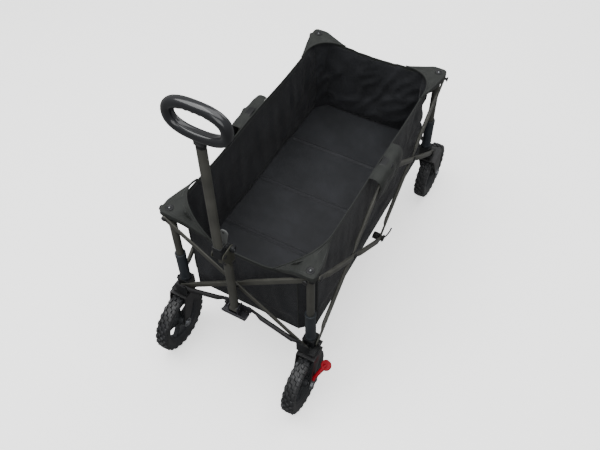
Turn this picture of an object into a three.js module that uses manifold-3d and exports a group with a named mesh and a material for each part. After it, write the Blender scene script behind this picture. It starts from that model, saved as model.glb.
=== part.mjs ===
// A folding utility wagon with a fabric bag, a crossed-bar frame and a pull handle.
// Millimetres, +Z up. The handle end faces -Y and the brake is on the +X side.
import * as THREE from "three";
import { mergeVertices } from "three/addons/utils/BufferGeometryUtils.js";
import Module from "manifold-3d";

// Driving dimensions: the frame. Each long side holds two crosses as long as the end's one cross.
const POST_SPACING = 420;
const LOW_PIVOT_Z = 236;
const HIGH_PIVOT_Z = 562;
const BAR_WIDTH = 16;
const BAR_THICKNESS = 4.5;
const PIN_RADIUS = 4;
const RIVET_HEAD_RADIUS = 7;
const RIVET_HEAD_HEIGHT = 2.5;

// Clearances.
const GAP = 0.3;
const BAR_GAP = 1;
const PIVOT_GAP = 0.4;
const THROUGH = 40;

// Corner posts: an upper tube slides in a lower sleeve.
const POST_RADIUS = 11;
const SLEEVE_GAP = 0.6;
const SLEEVE_WALL = 4.4;
const SLEEVE_RADIUS = POST_RADIUS + SLEEVE_GAP + SLEEVE_WALL;
const SLEEVE_TOP_Z = 378;
const POST_BOTTOM_Z = 234;
const POST_WALL = 1.5;
const CAP_HEIGHT = 26;
const CAP_TOP_Z = 574;
const CAP_SOCKET = 10;
const CAP_CORNER = 7;
const BRACKET_TOP_Z = 258;
const FOOT_THICKNESS = 5.5;
const CHEEK_THICKNESS = 3.5;
const CHEEK_OUT = 12;
const FOOT_OUT = 30;
const REAR_FOOT_OUT = 12;
const CHEEK_EDGE = 4;

// Hubs in the middle of each long side.
const HUB_BLOCK_WIDTH = 46;
const HUB_BLOCK_HEIGHT = 30;
const HUB_BLOCK_RADIUS = 9;
const HUB_HEAD_RADIUS = 11;
const HUB_BAG_GAP = 4;

// Wheels and forks.
const WHEEL_RADIUS = 101;
const TYRE_WIDTH = 40;
const TYRE_SIDES = 36;
const RIM_RADIUS = 70;
const RIM_BAND = 8;
const RIM_WIDTH = 28;
const SPOKES = 5;
const SPOKE_WIDTH = 17;
const SPOKE_TIP_RADIUS = 4;
const SPOKE_DEPTH = 12;
const HUB_RADIUS = 17;
const HUB_WIDTH = 42;
const AXLE_RADIUS = 6;
const AXLE_BORE_GAP = 1;
const AXLE_HEAD_RADIUS = 11;
const AXLE_HEAD_HEIGHT = 5;
const FORK_GAP = 50;
const FORK_THICKNESS = 4;
const FORK_WIDTH = 46;
const CROWN_GAP = 4;
const CROWN_THICKNESS = 5;
const CROWN_OVERHANG = 8;
const STEM_RADIUS = 8;
const RACE_RADIUS = 20;
const CASTER_OUT = 6;
const CASTER_AHEAD = 14;
const CASTER_TRAIL = 46;
const REAR_WHEEL_OUT = 17;
const REAR_WHEEL_BEHIND = 41;

// Front links and the foot of the handle.
const LINK_WIDTH = 16;
const LINK_OUTER_IN = 13;
const LINK_OUTER_Z = 252;
const LINK_INNER_X = 33;
const LINK_INNER_Z = 310;
const PLATE_THICKNESS = 3.5;
const PLATE_HALF_WIDTH = 43;
const PLATE_BOTTOM_Z = 298;
const PLATE_TOP_Z = 326;
const EAR_THICKNESS = 3;
const EAR_TOP_Z = 338;
const HANDLE_PIVOT_Z = 322;

// Pull handle.
const LOWER_TUBE_RADIUS = 12;
const LOWER_TUBE_WALL = 1.6;
const LOWER_TUBE_TOP_Z = 583;
const ELBOW_Z = 603;
const ELBOW_RIVET_Z = 548;
const ELBOW_AHEAD = 27;
const ELBOW_PLATE = 2.5;
const ELBOW_REAR_RADIUS = 10;
const ELBOW_FRONT_RADIUS = 12;
const ELBOW_HEAD_RADIUS = 5;
const ELBOW_BRIDGE = { below: 6, above: 14 };
const COLLAR_HALF_WIDTH = 14;
const COLLAR_DEPTH = 21;
const COLLAR_HEIGHT = 34;
const COLLAR_BELOW = 9;
const COLLAR_CORNER = 4;
const OUTER_TUBE = { width: 25, depth: 17, wall: 1.3, top: 985 };
const INNER_TUBE_LENGTH = 340;
const INNER_TUBE_TOP_Z = 1006;
const GRIP_WIDTH = 168;
const GRIP_HEIGHT = 104;
const GRIP_BOTTOM_Z = 996;
const GRIP_DEPTH = 27;
const GRIP_BAR = 26;
const GRIP_ROUNDNESS = 0.46;
const GRIP_BEVEL = 0.3;
const GRIP_SCALLOPS = 4;
const GRIP_SCALLOP_DEPTH = 2.5;
const LATCH_DISC_RADIUS = 12.5;
const LATCH_DISC_Z = 660;
const LATCH_PIVOT_Z = 606;
const LATCH_THICKNESS = 3;
const LATCH_DRUM_RADIUS = 10;
const LATCH_DRUM_HALF = 12;
const LATCH_DISC_X = 3;
const LATCH_NECK = 6;
const LATCH_HOLE = 3;

// Brake pedal on the front right fork.
const PEDAL_RADIUS = 16;
const PEDAL_THICKNESS = 7;
const BRAKE_ARM_WIDTH = 15;
const BRAKE_ARM_THICKNESS = 5;
const BRAKE_PIVOT_AHEAD = 34;
const BRAKE_PIVOT_Z = 128;
const PEDAL_BEHIND = 36;
const PEDAL_RISE = 34;
const PEDAL_OUT = 20;

// Fabric bag.
const BAG_HALF_WIDTH = 204;
const BAG_HALF_LENGTH = 410;
const BAG_CHAMFER = 38;
const BAG_WALL = 2.5;
const BAG_FLOOR_Z = 290;
const BAG_FLOOR = 5;
const BAG_SKIRT_Z = 243;
const BAG_RIM_Z = 570;
const BAG_FRONT_DIP = 86;
const BAG_DIP_WIDTH = 330;

// Worked out from the driving dimensions.
const POST_X = POST_SPACING / 2;
const POST_Y = POST_SPACING;
const BLOCK_OUT = SLEEVE_RADIUS + 1.5 * BAR_GAP;
const LAYER_1 = BLOCK_OUT + BAR_GAP;
const LAYER_2 = LAYER_1 + BAR_THICKNESS + BAR_GAP;
const LAYER_3 = LAYER_2 + BAR_THICKNESS + BAR_GAP;
const HEAD_FACE = LAYER_2 + BAR_THICKNESS + 2 * GAP;
const CHEEK_IN = LAYER_3 + BAR_THICKNESS + BAR_GAP;
const HANDLE_Y = -(POST_Y + CHEEK_IN + PLATE_THICKNESS + LOWER_TUBE_RADIUS + 2 * PIVOT_GAP);
const UPPER_Y = HANDLE_Y - ELBOW_AHEAD;
const OUTER_BOTTOM_Z = ELBOW_Z + 10;
const INNER_TUBE = {
  width: OUTER_TUBE.width - 2 * OUTER_TUBE.wall - 2 * GAP,
  depth: OUTER_TUBE.depth - 2 * OUTER_TUBE.wall - 2 * GAP,
};
const CROWN_Z = 2 * WHEEL_RADIUS + CROWN_GAP;
const FOOT_Z = LOW_PIVOT_Z - BAR_WIDTH / 2 - BAR_GAP - FOOT_THICKNESS;
const BLOCK_IN = SLEEVE_RADIUS + 2;
const STEM_TOP_Z = FOOT_Z + FOOT_THICKNESS - 0.5;
const CAP_MIDDLE = (BLOCK_OUT - BLOCK_IN) / 2;

const wasm = await Module();
wasm.setup();

const material = (color, roughness, metalness = 0) =>
  new THREE.MeshStandardMaterial({ color, roughness, metalness });
const FINISH = {
  tube: material(0x4c4c4a, 0.45, 0.6),
  sleeve: material(0x3a3f44, 0.5, 0.5),
  plastic: material(0x151617, 0.55),
  gloss: material(0x0d0e10, 0.22),
  rim: material(0x33353a, 0.5),
  tyre: material(0x1b1c1f, 0.85),
  steel: material(0x9a9c9e, 0.35, 0.9),
  red: material(0xa30a22, 0.45),
  fabric: material(0x202124, 0.9),
};

// ---- Solids ----

// A closed geometry as a manifold-3d solid.
function solid(geometry) {
  const bare = geometry.index ? geometry.toNonIndexed() : geometry.clone();
  bare.deleteAttribute("normal");
  bare.deleteAttribute("uv");
  const merged = mergeVertices(bare, 1e-3);
  return new wasm.Manifold(
    new wasm.Mesh({
      numProp: 3,
      vertProperties: merged.attributes.position.array,
      triVerts: new Uint32Array(merged.index.array),
    }),
  );
}

function geometryOf(body) {
  const mesh = body.getMesh();
  return new THREE.BufferGeometry()
    .setAttribute("position", new THREE.BufferAttribute(mesh.vertProperties, 3))
    .setIndex(new THREE.BufferAttribute(mesh.triVerts, 1));
}

function join(...geometries) {
  return geometryOf(geometries.map(solid).reduce((all, one) => all.add(one)));
}

function cut(geometry, ...cutters) {
  return geometryOf(cutters.map(solid).reduce((left, one) => left.subtract(one), solid(geometry)));
}

// A box given by its two corners.
function box([x0, y0, z0], [x1, y1, z1]) {
  return new THREE.BoxGeometry(x1 - x0, y1 - y0, z1 - z0).translate(
    (x0 + x1) / 2,
    (y0 + y1) / 2,
    (z0 + z1) / 2,
  );
}

// A rod from one point to another.
function rod(from, to, radius, sides = 12) {
  const start = new THREE.Vector3(...from);
  const along = new THREE.Vector3(...to).sub(start);
  const turn = new THREE.Quaternion().setFromUnitVectors(
    new THREE.Vector3(0, 1, 0),
    along.clone().normalize(),
  );
  return new THREE.CylinderGeometry(radius, radius, along.length(), sides)
    .applyQuaternion(turn)
    .translate(...start.addScaledVector(along, 0.5).toArray());
}

// A closed outline round two circles: a bar with round ends when both radii are the same.
function capsule(a, b, radiusA, radiusB = radiusA) {
  const angle = Math.atan2(b[1] - a[1], b[0] - a[0]);
  const lean = Math.acos((radiusA - radiusB) / Math.hypot(b[0] - a[0], b[1] - a[1]));
  const shape = new THREE.Shape();
  shape.absarc(a[0], a[1], radiusA, angle + lean, angle - lean + 2 * Math.PI);
  shape.absarc(b[0], b[1], radiusB, angle - lean, angle + lean);
  return shape;
}

function hole(x, y, radius) {
  return new THREE.Path().absarc(x, y, radius, 0, 2 * Math.PI, true);
}

// A flat plate drawn in X and Z, from one Y to another.
function plateXZ(shape, y0, y1, segments = 4) {
  const depth = Math.abs(y1 - y0);
  return new THREE.ExtrudeGeometry(shape, { depth, bevelEnabled: false, curveSegments: segments })
    .rotateX(Math.PI / 2)
    .translate(0, Math.max(y0, y1), 0);
}

// A flat plate drawn in Y and Z, from one X to another.
function plateYZ(shape, x0, x1, segments = 4) {
  const depth = Math.abs(x1 - x0);
  return new THREE.ExtrudeGeometry(shape, { depth, bevelEnabled: false, curveSegments: segments })
    .rotateY(Math.PI / 2)
    .rotateX(Math.PI / 2)
    .translate(Math.min(x0, x1), 0, 0);
}

// A shape with rounded corners, centred on a point.
function rounded(width, height, radius, centreX = 0, centreY = 0) {
  const [x, y] = [width / 2 - radius, height / 2 - radius];
  const shape = new THREE.Shape();
  shape.absarc(centreX + x, centreY + y, radius, 0, Math.PI / 2);
  shape.absarc(centreX - x, centreY + y, radius, Math.PI / 2, Math.PI);
  shape.absarc(centreX - x, centreY - y, radius, Math.PI, 1.5 * Math.PI);
  shape.absarc(centreX + x, centreY - y, radius, 1.5 * Math.PI, 2 * Math.PI);
  return shape;
}

function upright(shape, z0, z1, segments = 5) {
  return new THREE.ExtrudeGeometry(shape, {
    depth: z1 - z0,
    bevelEnabled: false,
    curveSegments: segments,
  }).translate(0, 0, z0);
}

const wagon = new THREE.Group();

function add(group, name, geometry, finish) {
  const mesh = new THREE.Mesh(geometry, finish);
  mesh.name = name;
  group.add(mesh);
}

// ---- Crossed bars ----

function disc([x, z], radius) {
  return new THREE.Shape().absarc(x, z, radius, 0, 2 * Math.PI);
}

// One bar of a cross, between two pivots in its plane. The inner bar carries the rivet at its middle,
// which passes through the hole in the outer bar.
function crossBar(plate, from, to, layer) {
  const middle = [(from[0] + to[0]) / 2, (from[1] + to[1]) / 2];
  const shape = capsule(from, to, BAR_WIDTH / 2);
  const bore = PIN_RADIUS + PIVOT_GAP;
  shape.holes.push(hole(...from, bore), hole(...to, bore));
  if (layer === LAYER_2) {
    shape.holes.push(hole(...middle, bore));
    return plate(shape, layer, layer + BAR_THICKNESS);
  }
  return join(
    plate(shape, layer, layer + BAR_THICKNESS),
    plate(disc(middle, PIN_RADIUS), layer + BAR_THICKNESS / 2, HEAD_FACE + GAP),
    plate(disc(middle, RIVET_HEAD_RADIUS), HEAD_FACE, HEAD_FACE + RIVET_HEAD_HEIGHT),
  );
}

// The cross at one end. It is drawn for the rear, and the front one is its mirror image.
function endCross(end) {
  const side = new THREE.Group();
  side.scale.y = end === "front" ? -1 : 1;
  const plate = (shape, near, far) => plateXZ(shape, POST_Y + near, POST_Y + far);
  const low = (sign) => [sign * POST_X, LOW_PIVOT_Z];
  const high = (sign) => [sign * POST_X, HIGH_PIVOT_Z];
  add(side, `${end}_bar_from_left`, crossBar(plate, low(-1), high(1), LAYER_1), FINISH.tube);
  add(side, `${end}_bar_from_right`, crossBar(plate, low(1), high(-1), LAYER_2), FINISH.tube);
  wagon.add(side);
}

// The two crosses of one long side, and the hubs where they meet.
function longSide(name) {
  const side = new THREE.Group();
  side.scale.x = name === "left" ? -1 : 1;
  const plate = (shape, near, far) => plateYZ(shape, POST_X + near, POST_X + far);
  const low = (y) => [y, LOW_PIVOT_Z];
  const high = (y) => [y, HIGH_PIVOT_Z];
  const bars = {
    side_bar_front_low: [low(-POST_Y), high(0), LAYER_1],
    side_bar_front_high: [high(-POST_Y), low(0), LAYER_2],
    side_bar_rear_high: [low(0), high(POST_Y), LAYER_1],
    side_bar_rear_low: [high(0), low(POST_Y), LAYER_2],
  };
  for (const [bar, [from, to, layer]] of Object.entries(bars))
    add(side, `${bar}_${name}`, crossBar(plate, from, to, layer), FINISH.tube);
  add(side, `top_hub_${name}`, hub(plate, high(0)), FINISH.plastic);
  add(side, `bottom_hub_${name}`, hub(plate, low(0)), FINISH.plastic);
  wagon.add(side);
}

// A hub: a block behind the bars, a pin through them and a domed head outside.
function hub(plate, middle) {
  const block = rounded(HUB_BLOCK_WIDTH, HUB_BLOCK_HEIGHT, HUB_BLOCK_RADIUS, ...middle);
  const inner = BAG_HALF_WIDTH + HUB_BAG_GAP - POST_X;
  return join(
    plate(block, inner, BLOCK_OUT),
    plate(disc(middle, PIN_RADIUS), BLOCK_OUT - 1, HEAD_FACE + GAP),
    plate(disc(middle, HUB_HEAD_RADIUS), HEAD_FACE, HEAD_FACE + RIVET_HEAD_HEIGHT),
  );
}

// ---- Corners ----

// A corner is drawn about its post, with +X outwards, +Y towards the wagon's end.
function cornerGroup(x, y) {
  const corner = new THREE.Group();
  corner.position.set(x * POST_X, y * POST_Y, 0);
  corner.scale.set(x, y, 1);
  wagon.add(corner);
  return corner;
}

function postSleeve() {
  const shape = disc([0, 0], SLEEVE_RADIUS);
  shape.holes.push(hole(0, 0, SLEEVE_RADIUS - SLEEVE_WALL));
  return upright(shape, BRACKET_TOP_Z + GAP, SLEEVE_TOP_Z, 7);
}

function postTube() {
  const shape = disc([0, 0], POST_RADIUS);
  shape.holes.push(hole(0, 0, POST_RADIUS - POST_WALL));
  return upright(shape, POST_BOTTOM_Z, CAP_TOP_Z - CAP_HEIGHT + CAP_SOCKET, 6);
}

// The plastic cap on a post, with a pin on each outer face for the bars' high ends.
function postCap() {
  const bottom = CAP_TOP_Z - CAP_HEIGHT;
  const side = BLOCK_IN + BLOCK_OUT;
  const outline = rounded(side, side, CAP_CORNER, CAP_MIDDLE, CAP_MIDDLE);
  const block = upright(outline, bottom, CAP_TOP_Z, 3);
  const socket = rod([0, 0, bottom - 1], [0, 0, bottom + CAP_SOCKET + GAP], POST_RADIUS + GAP, 20);
  return join(cut(block, socket), ...pins(HIGH_PIVOT_Z));
}

// The two pins of a corner, one through the end's bars and one through the side's.
function pins(z) {
  const far = HEAD_FACE + RIVET_HEAD_HEIGHT;
  return [
    rod([0, BLOCK_OUT - 2, z], [0, HEAD_FACE + GAP, z], PIN_RADIUS),
    rod([0, HEAD_FACE, z], [0, far, z], RIVET_HEAD_RADIUS),
    rod([BLOCK_OUT - 2, 0, z], [HEAD_FACE + GAP, 0, z], PIN_RADIUS),
    rod([HEAD_FACE, 0, z], [far, 0, z], RIVET_HEAD_RADIUS),
  ];
}

// The plastic block under a post: a foot below the bars, pins for their low ends and, at the front,
// a cheek that holds the handle's link.
function cornerBracket(end) {
  const front = end === "front";
  const reach = front ? CHEEK_IN + CHEEK_THICKNESS : BLOCK_OUT + REAR_FOOT_OUT;
  const block = box([-BLOCK_IN, -BLOCK_IN, FOOT_Z], [BLOCK_OUT, BLOCK_OUT, BRACKET_TOP_Z]);
  const foot = box([-BLOCK_IN, -BLOCK_IN, FOOT_Z], [FOOT_OUT, reach, FOOT_Z + FOOT_THICKNESS]);
  const inner = SLEEVE_RADIUS - SLEEVE_WALL;
  const bore = rod([0, 0, POST_BOTTOM_Z - 2], [0, 0, BRACKET_TOP_Z + 1], inner, 20);
  const body = cut(join(block, foot, ...pins(LOW_PIVOT_Z)), bore);
  if (!front) return body;
  const cheek = box(
    [-LINK_OUTER_IN - LINK_WIDTH / 2 - CHEEK_EDGE, CHEEK_IN, FOOT_Z],
    [CHEEK_OUT, CHEEK_IN + CHEEK_THICKNESS, LINK_OUTER_Z + LINK_WIDTH / 2 + 2],
  );
  const lugAt = (y) => [-LINK_OUTER_IN, y, LINK_OUTER_Z];
  const lug = rod(lugAt(LAYER_3 - GAP), lugAt(CHEEK_IN + 1), PIN_RADIUS);
  const stemAt = (z) => [CASTER_OUT, CASTER_AHEAD, z];
  const stemHole = rod(stemAt(FOOT_Z - 1), stemAt(STEM_TOP_Z + GAP), STEM_RADIUS + 2 * PIVOT_GAP);
  return cut(join(body, cheek, lug), stemHole);
}

function corner(x, y) {
  const end = y < 0 ? "front" : "rear";
  const name = `${end}_${x < 0 ? "left" : "right"}`;
  const group = cornerGroup(x, y);
  add(group, `corner_bracket_${name}`, cornerBracket(end), FINISH.plastic);
  add(group, `post_sleeve_${name}`, postSleeve(), FINISH.sleeve);
  add(group, `post_tube_${name}`, postTube(), FINISH.tube);
  add(group, `post_cap_${name}`, postCap(), FINISH.plastic);
  const out = y < 0 ? CASTER_OUT : REAR_WHEEL_OUT;
  const along = y < 0 ? CASTER_AHEAD + CASTER_TRAIL : REAR_WHEEL_BEHIND;
  add(group, `fork_${name}`, fork(end, out, along), FINISH.tube);
  wheel(group, name, out, along);
}

// ---- Forks and wheels ----

// A fork: a crown over the tyre, two legs down to the axle, and a swivel stem at the front.
function fork(end, out, along) {
  const front = end === "front";
  const half = FORK_GAP / 2;
  const root = front ? CASTER_AHEAD : 0;
  const near = root - FORK_WIDTH / 2;
  const far = front ? root + FORK_WIDTH / 2 + CROWN_OVERHANG : along + FORK_WIDTH / 4;
  const top = CROWN_Z + CROWN_THICKNESS;
  const leg = half + FORK_THICKNESS;
  const crown = box([out - leg, near, CROWN_Z], [out + leg, far, top]);
  const tip = AXLE_HEAD_RADIUS + 2;
  const side = new THREE.Shape();
  side.moveTo(near, top);
  side.lineTo(along - tip, WHEEL_RADIUS);
  side.absarc(along, WHEEL_RADIUS, tip, Math.PI, 2 * Math.PI);
  side.lineTo(far, top);
  side.holes.push(hole(along, WHEEL_RADIUS, AXLE_RADIUS + AXLE_BORE_GAP));
  const legs = [-1, 1].map((s) => plateYZ(side, out + s * half, out + s * leg));
  if (!front) {
    const inner = CROWN_THICKNESS - BLOCK_IN;
    const seat = box([inner, inner, top - 1], [BLOCK_OUT, BLOCK_OUT, FOOT_Z - GAP]);
    return join(crown, seat, ...legs);
  }
  const race = rod([CASTER_OUT, root, top - 1], [CASTER_OUT, root, FOOT_Z - GAP], RACE_RADIUS, 16);
  const stem = rod([CASTER_OUT, root, top], [CASTER_OUT, root, STEM_TOP_Z], STEM_RADIUS, 12);
  return join(crown, race, stem, ...legs);
}

// A tyre's outline: rounded shoulders, and a bead that grips the rim.
function tyre() {
  const half = TYRE_WIDTH / 2;
  const bead = RIM_WIDTH / 2;
  const shoulder = TYRE_WIDTH / 4;
  const inner = (RIM_RADIUS + GAP) / Math.cos(Math.PI / TYRE_SIDES);
  const points = [
    [inner, -bead],
    [inner + half - bead, -half],
    [WHEEL_RADIUS - shoulder, -half],
    [WHEEL_RADIUS, -half + shoulder],
    [WHEEL_RADIUS, half - shoulder],
    [WHEEL_RADIUS - shoulder, half],
    [inner + half - bead, half],
    [inner, bead],
    [inner, -bead],
  ].map(([r, z]) => new THREE.Vector2(r, z));
  return new THREE.LatheGeometry(points, TYRE_SIDES).rotateZ(Math.PI / 2);
}

// A spoked plastic rim.
function rim() {
  const ring = disc([0, 0], RIM_RADIUS);
  ring.holes.push(hole(0, 0, RIM_RADIUS - RIM_BAND));
  const band = plateYZ(ring, -RIM_WIDTH / 2, RIM_WIDTH / 2, TYRE_SIDES / 4);
  const spokes = Array.from({ length: SPOKES }, (_, i) => {
    const angle = Math.PI / 2 + (i * 2 * Math.PI) / SPOKES;
    const tip = RIM_RADIUS - RIM_BAND / 2;
    const end = [tip * Math.cos(angle), tip * Math.sin(angle)];
    const spoke = capsule([0, 0], end, SPOKE_WIDTH / 2, SPOKE_TIP_RADIUS);
    return plateYZ(spoke, -SPOKE_DEPTH / 2, SPOKE_DEPTH / 2, 3);
  });
  const hubBody = plateYZ(disc([0, 0], HUB_RADIUS), -HUB_WIDTH / 2, HUB_WIDTH / 2, 8);
  const bore = plateYZ(disc([0, 0], AXLE_RADIUS + AXLE_BORE_GAP), -HUB_WIDTH, HUB_WIDTH, 6);
  return cut(join(band, hubBody, ...spokes), bore);
}

function axle() {
  const leg = FORK_GAP / 2 + FORK_THICKNESS + GAP;
  const far = leg + AXLE_HEAD_HEIGHT;
  const heads = [-1, 1].map((s) => rod([s * leg, 0, 0], [s * far, 0, 0], AXLE_HEAD_RADIUS, 6));
  return join(rod([-leg - 1, 0, 0], [leg + 1, 0, 0], AXLE_RADIUS, 16), ...heads);
}

function wheel(group, name, out, along) {
  const centre = new THREE.Group();
  centre.position.set(out, along, WHEEL_RADIUS);
  add(centre, `tyre_${name}`, tyre(), FINISH.tyre);
  add(centre, `rim_${name}`, rim(), FINISH.rim);
  add(centre, `axle_${name}`, axle(), FINISH.steel);
  group.add(centre);
}

// ---- Brake ----

// The pedal on the outside of the front right fork, seen from outside with +Y to the rear.
function brake() {
  const leg = POST_X + CASTER_OUT + FORK_GAP / 2 + FORK_THICKNESS;
  const y = -(POST_Y + CASTER_AHEAD + BRAKE_PIVOT_AHEAD);
  const near = leg + GAP;
  const far = near + BRAKE_ARM_THICKNESS;
  const end = [y + PEDAL_BEHIND, BRAKE_PIVOT_Z + PEDAL_RISE];
  const outline = capsule([y, BRAKE_PIVOT_Z], end, BRAKE_ARM_WIDTH / 2, BRAKE_ARM_WIDTH / 2 + 2);
  const arm = plateYZ(outline, near, far);
  const pedal = [far + PEDAL_OUT - PEDAL_RADIUS / 2, end[0]];
  const plate = rod(
    [pedal[0], pedal[1], end[1] - PEDAL_THICKNESS / 2],
    [pedal[0], pedal[1], end[1] + PEDAL_THICKNESS / 2],
    PEDAL_RADIUS,
    24,
  );
  const leftOfArm = box(
    [near - THROUGH, end[0] - THROUGH, end[1] - THROUGH],
    [near, end[0] + THROUGH, end[1] + THROUGH],
  );
  return join(arm, cut(plate, leftOfArm));
}

// ---- Pull handle ----

// A link from a front corner to the handle's foot, drawn for the right side.
function link() {
  const outer = [POST_X - LINK_OUTER_IN, LINK_OUTER_Z];
  const shape = capsule(outer, [LINK_INNER_X, LINK_INNER_Z], LINK_WIDTH / 2);
  shape.holes.push(hole(...outer, PIN_RADIUS + PIVOT_GAP));
  return plateXZ(shape, -(POST_Y + LAYER_3), -(POST_Y + LAYER_3 + BAR_THICKNESS));
}

// The sheet-metal foot that the handle swings in: a plate in front of the links and two ears.
function handleFoot() {
  const back = -(POST_Y + CHEEK_IN);
  const plate = box(
    [-PLATE_HALF_WIDTH, back - PLATE_THICKNESS, PLATE_BOTTOM_Z],
    [PLATE_HALF_WIDTH, back, PLATE_TOP_Z],
  );
  const earIn = LOWER_TUBE_RADIUS + 1;
  const ear = (s) =>
    box(
      [Math.min(s * earIn, s * (earIn + EAR_THICKNESS)), HANDLE_Y - LOWER_TUBE_RADIUS, PLATE_BOTTOM_Z],
      [Math.max(s * earIn, s * (earIn + EAR_THICKNESS)), back - 1, EAR_TOP_Z],
    );
  const pinAt = (x) => [x, HANDLE_Y, HANDLE_PIVOT_Z];
  const pin = rod(pinAt(-earIn - 1), pinAt(earIn + 1), PIN_RADIUS);
  return join(plate, ear(-1), ear(1), pin);
}

// The lower tube, whose end is rounded about the foot's pin so that it clears the plate as it swings.
function lowerTube() {
  const ring = disc([0, 0], LOWER_TUBE_RADIUS);
  ring.holes.push(hole(0, 0, LOWER_TUBE_RADIUS - LOWER_TUBE_WALL));
  const tube = upright(ring, HANDLE_PIVOT_Z, LOWER_TUBE_TOP_Z, 6);
  const half = LOWER_TUBE_RADIUS;
  const end = rod([-half, 0, HANDLE_PIVOT_Z], [half, 0, HANDLE_PIVOT_Z], LOWER_TUBE_RADIUS, 24);
  const bore = rod([-THROUGH, 0, HANDLE_PIVOT_Z], [THROUGH, 0, HANDLE_PIVOT_Z], PIN_RADIUS + PIVOT_GAP);
  return cut(join(tube, end), bore).translate(0, HANDLE_Y, 0);
}

// The U of sheet metal that joins the two tubes, closed at its lower front, with both cross pins.
function elbowBracket() {
  const inner = COLLAR_HALF_WIDTH + 2 * GAP;
  const shape = capsule([HANDLE_Y, ELBOW_RIVET_Z], [UPPER_Y, ELBOW_Z], ELBOW_REAR_RADIUS, ELBOW_FRONT_RADIUS);
  const rear = capsule([HANDLE_Y, ELBOW_RIVET_Z], [HANDLE_Y, LATCH_PIVOT_Z], ELBOW_REAR_RADIUS);
  const sides = [-1, 1].flatMap((s) =>
    [shape, rear].map((outline) => plateYZ(outline, s * inner, s * (inner + ELBOW_PLATE))),
  );
  const front = HANDLE_Y - LOWER_TUBE_RADIUS - GAP;
  const bridge = box(
    [-inner - 1, front - ELBOW_PLATE, ELBOW_RIVET_Z - ELBOW_BRIDGE.below],
    [inner + 1, front, ELBOW_RIVET_Z + ELBOW_BRIDGE.above],
  );
  const pin = (y, z) => rod([-inner - 1, y, z], [inner + 1, y, z], PIN_RADIUS);
  const heads = [-1, 1].flatMap((s) =>
    [[HANDLE_Y, ELBOW_RIVET_Z], [UPPER_Y, ELBOW_Z]].map(([y, z]) =>
      rod([s * (inner + 1), y, z], [s * (inner + ELBOW_PLATE + 2), y, z], ELBOW_HEAD_RADIUS),
    ),
  );
  return join(...sides, bridge, pin(UPPER_Y, ELBOW_Z), pin(HANDLE_Y, LATCH_PIVOT_Z), ...heads);
}

// The plastic end on the upper tube, which turns on the elbow's front pin.
function elbowCollar() {
  const half = COLLAR_HALF_WIDTH;
  const block = upright(
    rounded(2 * half, COLLAR_DEPTH, COLLAR_CORNER, 0, UPPER_Y),
    ELBOW_Z - COLLAR_BELOW,
    ELBOW_Z + COLLAR_HEIGHT,
    3,
  );
  const bore = rod([-THROUGH, UPPER_Y, ELBOW_Z], [THROUGH, UPPER_Y, ELBOW_Z], PIN_RADIUS + PIVOT_GAP);
  const outline = ovalAt(OUTER_TUBE.width + 2 * GAP, OUTER_TUBE.depth + 2 * GAP);
  const socket = upright(outline, OUTER_BOTTOM_Z - GAP, ELBOW_Z + COLLAR_HEIGHT + 1);
  return cut(block, bore, socket);
}

function ovalAt(width, depth) {
  return rounded(width, depth, depth / 2 - 0.01, 0, UPPER_Y);
}

function ovalTube(width, depth, wall, z0, z1) {
  const shape = ovalAt(width, depth);
  const inside = ovalAt(width - 2 * wall, depth - 2 * wall);
  shape.holes.push(new THREE.Path(inside.getPoints(6).reverse()));
  return upright(shape, z0, z1);
}

// The grip's outline, and its inside when it is made a bar smaller all round.
function gripOutline(inset) {
  const height = GRIP_HEIGHT - 2 * inset;
  const middle = GRIP_BOTTOM_Z + GRIP_HEIGHT / 2;
  return rounded(GRIP_WIDTH - 2 * inset, height, height * GRIP_ROUNDNESS, 0, middle);
}

// The D grip: a rounded ring with finger scallops under its top bar, and a neck round the inner tube.
function grip() {
  const bevel = GRIP_DEPTH * GRIP_BEVEL;
  const ring = gripOutline(0);
  ring.holes.push(new THREE.Path(gripOutline(GRIP_BAR).getPoints(4).reverse()));
  const body = new THREE.ExtrudeGeometry(ring, {
    depth: GRIP_DEPTH - 2 * bevel,
    bevelThickness: bevel,
    bevelSize: bevel,
    bevelOffset: -bevel,
    bevelSegments: 1,
    curveSegments: 4,
  })
    .rotateX(Math.PI / 2)
    .translate(0, UPPER_Y + GRIP_DEPTH / 2 - bevel, 0);
  const neckOutline = rounded(OUTER_TUBE.width + 4, OUTER_TUBE.depth + 4, COLLAR_CORNER, 0, UPPER_Y);
  const neck = upright(neckOutline, OUTER_TUBE.top + 2, GRIP_BOTTOM_Z + GRIP_BAR / 2, 3);
  const pitch = (GRIP_WIDTH - 4 * GRIP_BAR) / GRIP_SCALLOPS;
  const top = GRIP_BOTTOM_Z + GRIP_HEIGHT - GRIP_BAR;
  const radius = (pitch ** 2 / 4 + GRIP_SCALLOP_DEPTH ** 2) / (2 * GRIP_SCALLOP_DEPTH);
  const scallops = Array.from({ length: GRIP_SCALLOPS }, (_, i) => {
    const x = (i - (GRIP_SCALLOPS - 1) / 2) * pitch;
    const z = top + GRIP_SCALLOP_DEPTH - radius;
    return rod([x, UPPER_Y - GRIP_DEPTH, z], [x, UPPER_Y + GRIP_DEPTH, z], radius, 48);
  });
  const topBar = box(
    [-GRIP_WIDTH, UPPER_Y - THROUGH, top - GRIP_SCALLOP_DEPTH],
    [GRIP_WIDTH, UPPER_Y + THROUGH, top + 2 * GRIP_SCALLOP_DEPTH],
  );
  const bites = scallops.map((one) => geometryOf(solid(one).intersect(solid(topBar))));
  const tube = ovalAt(INNER_TUBE.width + 2 * GAP, INNER_TUBE.depth + 2 * GAP);
  const socket = upright(tube, OUTER_TUBE.top, INNER_TUBE_TOP_Z + GAP);
  return cut(join(body, neck), ...bites, socket);
}

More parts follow.
